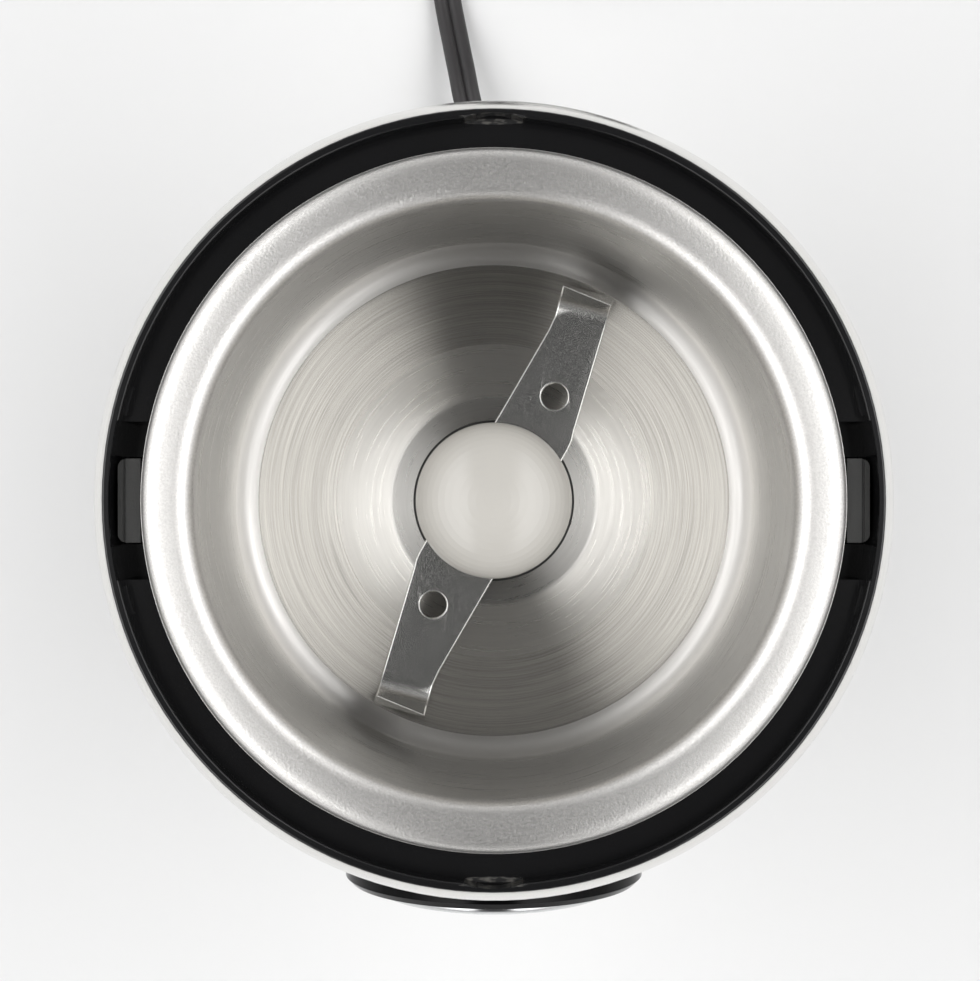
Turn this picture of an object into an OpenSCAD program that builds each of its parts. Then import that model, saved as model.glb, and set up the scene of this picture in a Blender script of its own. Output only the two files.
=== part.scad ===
// Electric spice grinder without its lid: steel shell, black collar, fixed steel bowl,
// two-winged blade on a universal motor, sprung push button at the front (-Y), cord at the back (+Y).
// Millimetres, +Z up, origin on the table under the blade's axis.
// The radii build up from the bowl outwards, the motor hangs from a deck under the bowl.

/* [Body] */
// Height of the collar's rim above the table
body_h = 125; // [122:0.5:130]
// How far the shell bulges out past the collar
shoulder_w = 3.5; // [3:0.1:5]
// Thickness of the shell's sheet
shell_t = 0.6; // [0.4:0.1:0.7]
// Height of the shell's rounded shoulder
shoulder_h = 6.5; // [5:0.5:7.5]
// Height of the black base that shows under the shell
base_h = 11.5; // [11:0.5:14]
// Thickness of the rubber ring under the base
foot_h = 2.5; // [2:0.25:4]

/* [Collar] */
// Height of the collar from its seat to its rim
collar_h = 14.6; // [14:0.1:16]
// Thickness of the rim's wall
collar_wall = 1.1; // [0.9:0.1:1.3]
// How far the rim stands above the shell's lip
collar_rise = 4.5; // [4:0.25:5.5]
// Depth of the lid's seat below the rim
ledge_drop = 3; // [2.8:0.1:3.4]
// Width of the slot between the bowl's lip and the rim, in which the lid turns
lid_slot = 3.4; // [3.2:0.1:4]
// Half width of each side pocket
pocket_half = 9.8; // [8.5:0.1:11]
// Depth of the side pockets below the rim
pocket_drop = 7.5; // [7:0.25:8.5]

/* [Bowl] */
// Inner radius of the bowl's mouth
bowl_r = 36.8; // [34:0.1:40]
// Width of the bowl's bead and lip together
lip_w = 6.7; // [6:0.1:8]
// Depth from the collar's rim to the lowest ring of the bowl's floor
bowl_drop = 35.3; // [33:0.1:36]
// Thickness of the bowl's sheet
bowl_t = 0.8; // [0.5:0.1:1]
// Slope of the coned floor, in degrees
cone_slope = 15; // [12:0.5:17]

/* [Blade] */
// Distance from the bend of each wing to the bowl's mouth
blade_margin = 11.1; // [10:0.1:13]
// Half width of the blade's strip
blade_half = 5.25; // [4.6:0.05:5.8]
// Thickness of the blade's sheet
blade_t = 1.4; // [1:0.1:1.8]
// Length of each turned-up tip
tip_len = 2.4; // [1.8:0.1:3.2]
// Angle by which the tips are turned up
tip_bend = 62; // [45:1:75]
// Diameter of the hole in each wing
blade_hole_d = 4; // [3:0.1:5]
// Radius of the domed cap over the blade's centre
cap_r = 10.5; // [9.5:0.1:11.2]
// Height of the cap's dome
cap_dome = 5.2; // [4:0.1:7]

/* [Button] */
// Radius of the push button
button_r = 17; // [15:0.1:18]
// Width of the ring round the button
bezel_w = 4; // [3.6:0.1:5]
// Travel of the push button
button_travel = 3.5; // [2.5:0.1:3.8]
// Travel of the lid interlocks
interlock_travel = 3; // [2:0.1:3.4]

/* [Motor] */
// Diameter of the motor shaft
shaft_d = 6; // [5:0.1:6.4]
// Radius of the armature
armature_r = 14; // [13:0.1:15]
// Radial gap between armature and poles
air_gap = 0.5; // [0.3:0.05:0.8]
// Height of the stator core and of the armature
core_h = 22; // [18:0.5:24]

/* [Cord] */
// Width of the flat two-core cord
cord_w = 5.2; // [4.8:0.1:5.4]
// Thickness of the flat cord
cord_t = 2.8; // [2.4:0.1:2.9]
// Length of the strain relief outside the base
boot_len = 21; // [20:0.5:21]

/* [Hidden] */

$fn = 96;

// Clearances: pressed on, running, assembled, and between pieces that move past each other
press_gap = 0.03;
run_gap = 0.05;
slip = 0.1;
move_gap = 0.4;
// Overshoot of a cutting tool past the face that it cuts
cut = 1;
// How far the shapes that make one solid run into each other
bite = 0.5;

// Radii, from the bowl outwards
bowl_out = bowl_r + bowl_t;
bowl_lip_r = bowl_r + lip_w;
collar_in = bowl_lip_r + lid_slot;
collar_r = collar_in + collar_wall;
shell_r = collar_r + shoulder_w;
liner_gap = 0.3;
liner_t = 2.2;
liner_r = shell_r - shell_t - liner_gap;
liner_in = liner_r - liner_t;

// Heights
base_top = foot_h + base_h;
lip_z = body_h - collar_rise;
ledge_z = body_h - ledge_drop;
pocket_z = body_h - pocket_drop;
liner_top = body_h - collar_h;
bowl_floor_z = body_h - bowl_drop;
deck_t = 2.5;
deck_gap = 1.4;
deck_top = bowl_floor_z - bowl_t - deck_gap;
deck_z = deck_top - deck_t;

// Rubber ring under the base, held by pegs
foot_inset = 3;
foot_w = 7;
foot_out = shell_r - foot_inset;
foot_in = foot_out - foot_w;
foot_mid = (foot_in + foot_out) / 2;
foot_chamfer = 0.6;
foot_peg_n = 6;
foot_peg_r = 2;
peg_barb = 0.5;
peg_tip_r = 1.4;
peg_tip_h = 1.6;

// Base cover
base_floor_t = 2;
base_floor_z = foot_h + base_floor_t;
base_wall = 2.2;
base_in = shell_r - base_wall;
base_chamfer = 1.2;
spigot_h = 4;
spigot_t = 1.3;
spigot_foot = 1.2;
spigot_slope = 2.2;
vent_n = 12;
vent_w = 3;
vent_in = 13;
vent_out = 27;

// Screws that hold the base cover, and their bosses in the inner housing
screw_n = 3;
screw_inset = 12.4;
screw_at = liner_in - screw_inset;
screw_from = 30;
shank_r = 1.4;
shank_gap = 0.3;
screw_head_r = 3.4;
screw_head_h = 1.8;
screw_sink = 0.4;
screw_len = 15;
socket_r = 1.4;
socket_h = 1;
boss_r = 4;
boss_h = 16;
boss_web = 2;
boss_web_h = 4;
boss_pad_h = 2.1;
boss_pad_wall = 1.4;
boss_z = base_floor_z + boss_pad_h;
boss_pad_r = screw_head_r + boss_pad_wall;

// Top flange of the inner housing, which the collar is screwed to
flange_t = 2.4;
flange_w = 3.9;
flange_in = liner_in - flange_w;
flange_boss_r = 4;
flange_open_half = 8;
liner_clear = 0.8;
flange_open_out = liner_in - liner_clear;
collar_screws_at = [45, 135, 225, 315];
collar_boss_inset = 3.9;
collar_boss_at = collar_in - collar_boss_inset;
collar_boss_r = 3.1;
collar_screw_r = 1.25;
collar_screw_len = 9.5;
collar_head_r = 2.6;
collar_head_h = 1.6;
collar_hole_h = 9;

// Ribs and hub under the bowl's floor
rib_n = 8;
rib_t = 1.6;
rib_gap = 0.3;
hub_out = 10;

// Collar
ledge_gap = 3;
ledge_in = bowl_out + ledge_gap;
ledge_t = 2.4;
edge_break = 0.3;
rim_edge = 0.3;
pocket_floor_t = 1.5;
pocket_rim = 2;
pocket_cut_wall = 0.25;
scoop_r = 10;
scoop_depth = 0.6;
ramp_angle = 4.5;
ramp_from = 13;
ramp_t = 0.5;
ramp_h = 1.5;

// Bowl
bead_lip = 0.25;
bead_rise = 3;
bead_power = 0.65;
bowl_taper = 0.5;
bowl_fillet = 2.8;
plateau_r = 15;
plateau_lip = 0.25;
plateau_step = 1;
gasket_t = 0.6;
gasket_wedge = 1.8;
lip_foot = ledge_z + gasket_t;
lip_top = lip_foot + bowl_t;
bowl_foot_r = bowl_r - bowl_taper;
cone_r = bowl_foot_r - bowl_fillet * (1 + sin(cone_slope));
cone_low = bowl_floor_z + bowl_fillet * (1 - cos(cone_slope));
plateau_top = cone_z(plateau_r) + plateau_lip;

// Shaft and its seal in the bowl's floor
shaft_r = shaft_d / 2;
seal_wall = 2.5;
seal_r = shaft_r + seal_wall;
hub_hole_r = seal_r + slip;
seal_h = 6;
seal_lip_h = 1;
seal_lip_w = 4.7;
seal_lip_r = seal_r + seal_lip_w;

// Blade, hub and cap
blade_reach = bowl_r - blade_margin;
blade_angle = 59.8;
hub_r = 7;
hub_h = 3.8;
hub_rise = 2;
hub_z = plateau_top + hub_rise;
hub_spigot = 0.6;
blade_z = hub_z + hub_h;
cap_z = blade_z + blade_t;
cap_band = 1.5;
cap_edge = 0.6;
shaft_in_cap = 2;
shaft_top = cap_z + cap_band + shaft_in_cap;
shaft_chamfer = 0.5;
hole_at = 16.3;
lead_edge_rise = 0.2;
wing_skew = 6.8;
wing_turn = 1.8;
wing_notch = 2.1;
bend_r = 3;
tip_grind = 1.6;
tip_edge = 0.25;
tip_slant = 12;

// Motor stack, from the deck downwards
fan_gap = 1;
fan_h = 5;
fan_disc_t = 1.4;
fan_blade_n = 9;
fan_blade_t = 1;
fan_blade_r = 12;
fan_hub_t = 3.5;
washer_t = 0.8;
washer_w = 2.6;
washer_gap = 0.1;
bearing_h = 7;
bearing_wall = 3.6;
bearing_r = shaft_r + bearing_wall;
bearing_crown = 0.5;
cup_wall = 2;
cup_floor = 0.4;
cup_foot = 1.5;
winding_over = 4.5;
winding_gap = 0.5;
winding_bevel = 1.7;
winding_clear = 1.6;
winding_in = shaft_r + winding_clear;
commutator_h = 10;
commutator_step = 5;
commutator_r = armature_r - commutator_step;
fan_z = deck_z - fan_gap - fan_h;
upper_bearing_z = fan_z - washer_t - 2 * washer_gap - bearing_h;
core_top = upper_bearing_z - winding_gap - winding_over;
core_z = core_top - core_h;
commutator_z = core_z - winding_over - winding_gap - commutator_h;
lower_bearing_z = commutator_z - cup_foot - washer_t - 2 * washer_gap - bearing_h;
shaft_end = 0.5;
shaft_z = lower_bearing_z - shaft_end;

// Stator: laminated core with two poles and a coil on each
pole_r = armature_r + air_gap;
pole_lip = 0.6;
yoke_side = 5.5;
yoke_end = 5;
pole_side = 5;
pole_end = 2.5;
yoke_x = pole_r + pole_side;
yoke_y = pole_r + pole_end;
stator_w = 2 * (yoke_x + yoke_side);
stator_d = 2 * (yoke_y + yoke_end);
core_corner = 4;
pole_split = 4;
pole_split_h = 5;
coil_t = 3;
coil_x = yoke_x - coil_t - slip;
coil_half = pole_r + 0.1;
coil_seat = 0.2;
neck_half = 8;
neck_gap = 0.6;
slot_n = 12;
slot_r = 1.6;
slot_at = armature_r - 3.4;
slot_mouth = 1.2;
bar_r = 1.45;
segment_n = 24;
segment_cut = 0.4;
segment_depth = 0.8;

// Brackets, bolts and the rubber mounts that they hang on
plate_t = 2;
bolt_r = 1.95;
bolt_head_r = 3.3;
bolt_head_h = 2.6;
bolt_inset = 3.4;
bolt_x = stator_w / 2 - bolt_inset;
bolt_y = stator_d / 2 - bolt_inset;
leg_r = 3.4;
bracket_rise = 8;
plate_rise = 4;
window_gap = 2.1;
upper_plate_z = core_top + bracket_rise;
lower_plate_z = lower_bearing_z + plate_rise;
window_w = bolt_x - bearing_r - cup_wall - 2 * window_gap;
window_d = 10;
window_x = (bolt_x + bearing_r + cup_wall) / 2;
window_y = 8;
window_r = 2;
mount_t = 3.5;
mount_r = 4.4;
mount_waist = 0.7;
post_z = upper_plate_z + plate_t + mount_t;
fan_side_gap = 1.95;
fan_r = norm([bolt_x, bolt_y]) - mount_r - fan_side_gap;

// Brushes
brush_z = commutator_z + commutator_h / 2;
brush_half = 2.4;
brush_len = 7.5;
brush_in = commutator_r + slip;
holder_wall = 1;
holder_gap = 1.6;
holder_from = commutator_r + holder_gap;
holder_len = 13.5;
holder_half = brush_half + holder_wall + slip;
pedestal_half = 3;
pedestal_inset = 1.4;
pedestal_from = holder_from + pedestal_inset;
pedestal_len = 9;

// Button: its opening lies just under the liner's top
bezel_r = button_r + bezel_w;
bezel_lap = 1.3;
bezel_neck_r = bezel_r - bezel_lap;
bezel_wall = 1.1;
bezel_chamfer = 0.8;
bezel_seat = 0.05;
opening_gap = 0.2;
opening_r = bezel_neck_r + opening_gap;
opening_top = 1;
button_z = liner_top - opening_top - opening_r;
bezel_proud = 2;
bezel_front = shell_r + bezel_proud;
bezel_back = flange_in;
bezel_catch = 2;
bezel_lip = 3.6;
button_proud = 1.8;
bezel_step = bezel_front - bezel_lip;
button_edge = bezel_front + button_proud;
button_edge_r = 0.8;
button_crown = 3.2;
button_wall = 1.2;
carrier_r = bezel_neck_r - bezel_wall - move_gap;
carrier_t = 2.7;
carrier_gap = 0.2;
carrier_front = bezel_step - carrier_gap;
carrier_back = carrier_front - carrier_t;
carrier_rim_t = 2.7;
carrier_rim_h = 3;
carrier_rib_t = 1.5;

// Return spring, on an upright of the deck just outside the bowl
spring_up = 4.5;
spring_r = 3.6;
spring_wire = 0.7;
spring_cup_t = 1;
spring_cup_h = 1.5;
upright_gap = 0.9;
upright_back = bowl_out + upright_gap;
upright_t = 2;
upright_front = upright_back + upright_t;
upright_half = 9;
upright_over = 7;

// Push switch under the deck, with its plunger
plunger_inset = 5.5;
plunger_drop = button_r - plunger_inset;
plunger_r = 1.8;
plunger_in = 3;
switch_inset = 8.4;
switch_front = liner_in - switch_inset;
switch_len = 11.5;
switch_back = switch_front - switch_len;
switch_half = 7;
switch_below = 5.5;
switch_low = button_z - plunger_drop - switch_below;
switch_ear = 3;
switch_ear_t = 2;
terminal_x = 4;
terminal_w = 3.5;
terminal_t = 0.8;
push_rod_r = 2;
overtravel = 0.6;
rod_tip = switch_front + button_travel + overtravel;

// Interlocks in the side pockets
tab_lip_gap = 0.2;
tab_rim_gap = 0.4;
tab_in = bowl_lip_r + tab_lip_gap;
tab_out = collar_in - tab_rim_gap;
tab_w = tab_out - tab_in;
tab_half = 5.2;
tab_corner = 1.1;
tab_proud = 0.4;
tab_top = ledge_z + tab_proud;
tab_gap = 0.3;
tab_groove_w = 0.35;
tab_groove_in = 0.6;
tab_groove_h = 0.3;
tab_foot_t = 2.2;
tab_foot_over = 1.8;
tab_foot_in = 0.4;
tab_foot_side = 0.2;
tab_foot_z = pocket_z - pocket_floor_t - tab_gap - tab_foot_t;
stem_inset = 0.7;
stem_at = tab_in + stem_inset;
stem_r = 1.2;
stem_in = 4;
contact_h = 12.5;
contact_top = deck_top + contact_h;
contact_half = 5.5;
contact_wall = 3.2;
contact_in = stem_at - contact_wall;
contact_out = liner_in - liner_clear;
interlock_spring_r = 1.75;
interlock_wire = 0.4;
interlock_turns = 7;

// Suppression capacitor in its cradle on the liner
capacitor_t = 7;
capacitor_w = 18;
capacitor_h = 13;
capacitor_z = base_top + spigot_h + 4;
capacitor_gap = 1.5;
cradle_t = 1.5;

// Thermal fuse, internal leads and the clamp that holds the cord's end
fuse_r = 1.5;
fuse_len = 10;
fuse_gap = 1.8;
lead_wire = 1.6;
lead_gap = 2.6;
lead_at = liner_in - lead_gap;
lead_low_z = 30;
lead_high_z = 61;
cord_rise = 6;
cord_z = foot_h + cord_rise;
clamp_inset = 9.9;
clamp_y = liner_in - clamp_inset;
clamp_half = 9;
clamp_len = 6;
clamp_over = 2.6;
clamp_screw_x = 6.2;
clamp_screw_y = clamp_y + clamp_len / 2;
clamp_head_r = 2.5;
clamp_head_h = 1.6;
clamp_pad = 1.5;

// Strain relief
boot_turn = 11.5;
boot_neck_r = 4.2;
boot_lip = 1.2;
boot_lip_h = 1.8;
boot_catch = 1;
boot_catch_h = 1.6;
boot_tip_t = 0.9;
boot_start = shell_r + slip;
boot_seat = 0.9;
boot_in = base_in - boot_catch_h - bite;
groove_n = 4;
groove_w = 1.3;
groove_pitch = 3.4;
groove_floor = 0.3;
groove_bridge = 2.4;

// Cord: leaves the base at the back, comes down to the table and is wound up behind
coil_pos = [18, 136];
coil_in = 22;
coil_out = 35.5;
coil_z = 0.5;
coil_h = 5.4;
tie_t = 0.5;
tie_w = 4;
tie_at = -60;
// Route points: x, y, z and the turn of the flat cord about its own line
lead_route = [[-4.2, 72.3, 8.5, 0], [-5.2, 76.4, 8.4, 0], [-6, 80.8, 6.9, 0], [-6.8, 85, 5.2, 0],
              [-7.6, 89.2, 3.5, 0], [-8.4, 93.4, 2.2, 0], [-9.2, 98, 1.6, 0], [-10, 102.5, 1.5, 5],
              [-10.8, 107, 1.7, 20], [-11.6, 111.5, 2.1, 40], [-12.4, 116, 2.6, 60],
              [-13.3, 120.5, 3, 80], [-14.2, 125, 3.2, 90], [-15.4, 129.7, 3.2, 90]];
tail_route = [[41.1, 140.4, 3.2, 90], [39.3, 130.3, 3.4, 90], [32.1, 121.9, 3.9, 90],
              [22.9, 117.6, 4.5, 85], [13.2, 118.1, 5.2, 70], [5.3, 123.3, 5.9, 45],
              [1.3, 131.5, 6.7, 20], [0.5, 140, 7.3, 5], [0.9, 148, 7.5, 0], [1.5, 156, 7.6, 0],
              [2.1, 164, 7.4, 0], [2.8, 172, 6.7, 0], [3, 176, 6.4, 0], [3, 179.9, 6.4, 0]];

// Plug with two flat pins
plug_at = [3, 180, 6.4];
plug_w = 22;
plug_t = 12;
plug_corner = 4.5;
plug_neck = 10;
plug_neck_r = 5.2;
plug_len = 24;
pin_len = 17;
pin_w = 6.35;
pin_t = 1.5;
pin_pitch = 12.7;
pin_hole_r = 1.6;
pin_hole_at = 4;

// Height of the bowl's coned floor at a distance from the axis
function cone_z(r) = cone_low + (cone_r - r) * tan(cone_slope);

// Height of the ribs that carry the coned floor
function rib_z(r) = cone_z(r) - bowl_t / cos(cone_slope) - rib_gap;

// Unit vector from a to b
function along(a, b) = (b - a) / norm(b - a);

// Normal on the left of a flat path at one of its points, long enough to keep the wall even
function mitre(path, i) =
    let (last = len(path) - 1,
         before = along(path[max(i - 1, 0)], path[max(i, 1)]),
         after = along(path[min(i, last - 1)], path[min(i + 1, last)]),
         sum = [-before[1] - after[1], before[0] + after[0]])
    sum * 2 / (sum * sum);

// Closed outline of a sheet of thickness t on the left of a flat path
function thicken(path, t) =
    concat(path, [for (i = [len(path) - 1 : -1 : 0]) path[i] + t * mitre(path, i)]);

// Points of an elliptical arc
function arc(centre, rx, ry, from, to, steps) =
    [for (i = [0 : steps]) let (a = from + (to - from) * i / steps)
        centre + [rx * cos(a), ry * sin(a)]];

// A power that keeps the sign, for the bowl's flattened bead
function soft(x, power) = sign(x) * pow(abs(x), power);

// Solid swept along points [x, y, z, turn] with an oval section
module sweep(route, w, t, sides) {
    rings = [for (i = [0 : len(route) - 1])
        let (p = [route[i][0], route[i][1], route[i][2]],
             a = route[max(i - 1, 0)],
             b = route[min(i + 1, len(route) - 1)],
             ahead = along([a[0], a[1], a[2]], [b[0], b[1], b[2]]),
             side = along([0, 0, 0], cross(ahead, [0, 0, 1])),
             up = cross(side, ahead),
             turn = route[i][3],
             wide = side * cos(turn) + up * sin(turn),
             thin = up * cos(turn) - side * sin(turn))
        for (k = [0 : sides - 1])
            let (angle = 360 * k / sides)
            p + wide * w / 2 * cos(angle) + thin * t / 2 * sin(angle)];
    n = len(route);
    walls = [for (i = [0 : n - 2]) for (k = [0 : sides - 1]) for (half = [0, 1])
        let (next = (k + 1) % sides, here = i * sides, there = here + sides)
        half == 0 ? [here + k, here + next, there + next] : [here + k, there + next, there + k]];
    polyhedron(rings, concat(walls, [[for (k = [sides - 1 : -1 : 0]) k]],
                             [[for (k = [0 : sides - 1]) (n - 1) * sides + k]]), convexity = 8);
}

// Coil spring standing on z = 0, with flat end turns
module coil_spring(r, wire, height, turns, steps = 14, sides = 6) {
    total = turns * steps;
    rise = height - wire;
    flat = 0.8;
    sweep([for (i = [0 : total])
        let (a = 360 * i / steps,
             part = i / total,
             z = wire / 2 + rise * min(1, max(0, (part * turns - flat) / (turns - 2 * flat))))
        [r * cos(a), r * sin(a), z, 0]], wire, wire, sides);
}

module tube(outer, inner, height) {
    difference() {
        cylinder(r = outer, h = height);
        translate([0, 0, -cut]) cylinder(r = inner, h = height + 2 * cut);
    }
}

// Flat outline with round corners
module rounded(w, d, r) {
    square([w - 2 * r, d], center = true);
    square([w, d - 2 * r], center = true);
    for (x = [-1, 1]) for (y = [-1, 1])
        translate([x * (w / 2 - r), y * (d / 2 - r)]) circle(r = r);
}

// Copies round the axis
module round_axis(n, from = 0) {
    for (i = [0 : n - 1]) rotate([0, 0, from + 360 * i / n]) children();
}

// Stands a shape on the front of the grinder: its z becomes the distance from the axis
module facing_front() {
    translate([0, 0, button_z]) rotate([90, 0, 0]) children();
}

// Lays a shape towards the back: its z becomes the distance along +Y
module facing_back() {
    rotate([-90, 0, 0]) children();
}

module at_bolts() {
    for (x = [-1, 1]) for (y = [-1, 1]) translate([x * bolt_x, y * bolt_y, 0]) children();
}

module at_collar_screws() {
    for (a = collar_screws_at) rotate([0, 0, a]) translate([collar_boss_at, 0, 0]) children();
}

module at_clamp_screws() {
    for (x = [-1, 1]) translate([x * clamp_screw_x, clamp_screw_y, 0]) children();
}

module both_sides() {
    children();
    mirror([1, 0, 0]) children();
}

// ---- Base ----

module foot_ring() {
    color("dimgray") {
        rotate_extrude() polygon([[foot_in + foot_chamfer, 0], [foot_out - foot_chamfer, 0],
                                  [foot_out, foot_chamfer], [foot_out, foot_h], [foot_in, foot_h],
                                  [foot_in, foot_chamfer]]);
        round_axis(foot_peg_n) translate([foot_mid, 0, foot_h - bite]) {
            cylinder(r = foot_peg_r, h = bite + base_floor_t + slip);
            translate([0, 0, bite + base_floor_t + slip])
                cylinder(r1 = foot_peg_r + peg_barb, r2 = peg_tip_r, h = peg_tip_h);
        }
    }
}

// Side wall, floor and the spigot that fits inside the liner
function base_outline() =
    let (spigot_r = liner_in - slip,
         spigot_in = spigot_r - spigot_t,
         ramp_z = base_top - spigot_foot)
    [[0, foot_h], [shell_r - base_chamfer, foot_h], [shell_r, foot_h + base_chamfer],
     [shell_r, base_top], [spigot_r, base_top], [spigot_r, base_top + spigot_h],
     [spigot_in, base_top + spigot_h], [spigot_in, ramp_z], [base_in, ramp_z - spigot_slope],
     [base_in, base_floor_z], [0, base_floor_z]];

module base_cover() {
    color("black") difference() {
        union() {
            rotate_extrude() polygon(base_outline());
            round_axis(screw_n, screw_from) translate([screw_at, 0, base_floor_z - bite])
                cylinder(r = boss_pad_r, h = boss_z - slip - base_floor_z + bite);
            translate([-clamp_half - bite, clamp_y - clamp_pad, base_floor_z - bite])
                cube([2 * (clamp_half + bite), clamp_len + 2 * clamp_pad,
                      cord_z - cord_t / 2 - base_floor_z + bite]);
        }
        round_axis(screw_n, screw_from) translate([screw_at, 0, foot_h - cut]) {
            cylinder(r = shank_r + shank_gap, h = boss_z - foot_h + 2 * cut);
            cylinder(r = screw_head_r + shank_gap, h = cut + screw_head_h + screw_sink);
        }
        round_axis(foot_peg_n) translate([foot_mid, 0, foot_h - cut])
            cylinder(r = foot_peg_r + slip, h = base_floor_t + 2 * cut);
        round_axis(vent_n) translate([0, 0, foot_h - cut]) linear_extrude(base_floor_t + 2 * cut) {
            translate([vent_in, -vent_w / 2]) square([vent_out - vent_in, vent_w]);
            translate([vent_in, 0]) circle(d = vent_w);
            translate([vent_out, 0]) circle(d = vent_w);
        }
        // Way in for the cord, with room for the strain relief's catch
        translate([0, clamp_y + clamp_len + clamp_pad, cord_z]) facing_back() {
            cylinder(r = boot_neck_r + slip, h = base_wall + clamp_len + 2 * clamp_pad + cut);
            cylinder(r = boot_neck_r + boot_lip, h = base_in - clamp_y - clamp_len - clamp_pad);
        }
        at_clamp_screws() translate([0, 0, base_floor_z]) cylinder(r = shank_r, h = cord_z);
    }
}

module base_screws() {
    color("silver") round_axis(screw_n, screw_from)
        translate([screw_at, 0, foot_h + screw_sink]) {
            difference() {
                cylinder(r = screw_head_r, h = screw_head_h);
                translate([0, 0, -cut]) cylinder(r = socket_r, h = cut + socket_h);
            }
            cylinder(r = shank_r - run_gap, h = screw_len);
        }
}

// ---- Shell and inner housing ----

module body_shell() {
    lip_r = collar_r + 0.3;
    outline = concat([[shell_r, base_top]],
                     arc([lip_r, lip_z - shoulder_h], shell_r - lip_r, shoulder_h, 0, 90, 12));
    color("silver") difference() {
        rotate_extrude() polygon(thicken(outline, shell_t));
        facing_front() cylinder(r = opening_r, h = shell_r + cut);
    }
}

// Flange that the collar stands on, open at the sides for the interlocks
module top_flange() {
    difference() {
        translate([0, 0, liner_top - flange_t]) {
            tube(liner_in + bite, flange_in, flange_t);
            at_collar_screws() cylinder(r = flange_boss_r, h = flange_t);
        }
        both_sides() translate([flange_in - flange_boss_r, -flange_open_half, liner_top - flange_t - cut])
            cube([flange_open_out - flange_in + flange_boss_r, 2 * flange_open_half, flange_t + 2 * cut]);
    }
}

// Deck with the ribs and the hub that the bowl's floor rests over
module deck() {
    rib_in = plateau_r - plateau_step;
    rib_end = bowl_foot_r - 6;
    translate([0, 0, deck_z]) {
        cylinder(r = liner_in + bite, h = deck_t);
        cylinder(r = hub_out, h = plateau_top - bowl_t - rib_gap - deck_z);
    }
    round_axis(rib_n, 180 / rib_n) translate([0, rib_t / 2, 0]) rotate([90, 0, 0])
        linear_extrude(rib_t) polygon([[hub_out - bite, deck_top - bite], [rib_end, deck_top - bite],
                                       [rib_end, rib_z(rib_end)], [rib_in, rib_z(rib_in)],
                                       [hub_out - bite, rib_z(rib_in)]]);
}

module inner_housing() {
    opening_from = bezel_back - bezel_catch;
    color("dimgray") difference() {
        union() {
            translate([0, 0, base_top]) tube(liner_r, liner_in, liner_top - base_top);
            top_flange();
            deck();
            // Posts that the motor hangs from
            at_bolts() translate([0, 0, post_z]) cylinder(r = mount_r, h = deck_z - post_z + bite);
            // Upright that the button's spring leans on
            translate([-upright_half, -upright_front, deck_top - bite])
                cube([2 * upright_half, upright_t,
                      button_z + spring_up + upright_over - deck_top + bite]);
            // Bosses for the base screws, tied to the liner
            round_axis(screw_n, screw_from) {
                translate([screw_at, 0, boss_z]) cylinder(r = boss_r, h = boss_h);
                translate([screw_at, -boss_web / 2, boss_z + boss_h - boss_web_h])
                    cube([liner_in - screw_at + bite, boss_web, boss_web_h]);
            }
            // Cradle for the suppression capacitor
            for (s = [0, 1]) mirror([0, s, 0])
                translate([-liner_in - bite, capacitor_w / 2 + slip, capacitor_z])
                    cube([bite + capacitor_gap + capacitor_t - cut, cradle_t, capacitor_h + cut]);
        }
        translate([0, 0, deck_z - cut]) cylinder(r = hub_hole_r, h = plateau_top - deck_z + cut);
        facing_front() translate([0, 0, opening_from])
            cylinder(r = opening_r, h = liner_r + cut - opening_from);
        at_collar_screws() translate([0, 0, liner_top - flange_t - cut])
            cylinder(r = collar_screw_r + shank_gap, h = flange_t + 2 * cut);
        at_bolts() translate([0, 0, upper_plate_z])
            cylinder(r = bolt_r + slip, h = deck_z - upper_plate_z);
        round_axis(screw_n, screw_from) translate([screw_at, 0, boss_z - cut])
            cylinder(r = shank_r, h = screw_len);
    }
}

// ---- Collar ----

// A sector of the collar between two radii, centred on +X
module side_sector(inner, outer, half, z, height) {
    translate([0, 0, z]) intersection() {
        tube(outer, inner, height);
        translate([0, -half, 0]) cube([outer + cut, 2 * half, height]);
    }
}

module collar() {
    ledge_low = ledge_z - ledge_t;
    ring = concat([[collar_in, ledge_z]],
        arc([collar_in + rim_edge, body_h - rim_edge], rim_edge, rim_edge, 180, 90, 4),
        arc([collar_r - rim_edge, body_h - rim_edge], rim_edge, rim_edge, 90, 0, 4),
        [[collar_r, liner_top], [collar_in, liner_top], [collar_in, ledge_low],
         [ledge_in, ledge_low], [ledge_in, ledge_z - edge_break], [ledge_in + edge_break, ledge_z]]);
    floor_z = pocket_z - pocket_floor_t;
    color("black") difference() {
        union() {
            rotate_extrude() polygon(ring);
            both_sides() side_sector(ledge_in, collar_in + edge_break, pocket_half + pocket_rim,
                                     floor_z, ledge_low + bite - floor_z);
            at_collar_screws() translate([0, 0, liner_top])
                cylinder(r = collar_boss_r, h = ledge_low - liner_top + bite);
            // Ramps beside the pockets, which hold the lid's tabs down
            both_sides() for (s = [0, 1]) mirror([0, s, 0]) rotate([0, 0, ramp_from])
                rotate_extrude(angle = ramp_angle)
                    translate([collar_in - ramp_t, ledge_z - edge_break])
                        square([ramp_t + edge_break, ramp_h + edge_break]);
        }
        both_sides() {
            side_sector(bowl_lip_r, collar_in + pocket_cut_wall, pocket_half, pocket_z,
                        pocket_drop + cut);
            translate([tab_in - tab_gap, -tab_half - tab_gap, floor_z - cut])
                cube([tab_w + 2 * tab_gap, 2 * (tab_half + tab_gap), pocket_floor_t + 2 * cut]);
        }
        // Shallow scoops in the rim, front and back
        for (s = [-1, 1]) translate([0, s * (collar_in + scoop_depth - scoop_r), ledge_z])
            cylinder(r = scoop_r, h = ledge_drop + cut);
        at_collar_screws() translate([0, 0, liner_top - cut])
            cylinder(r = collar_screw_r, h = collar_hole_h);
    }
}

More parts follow.
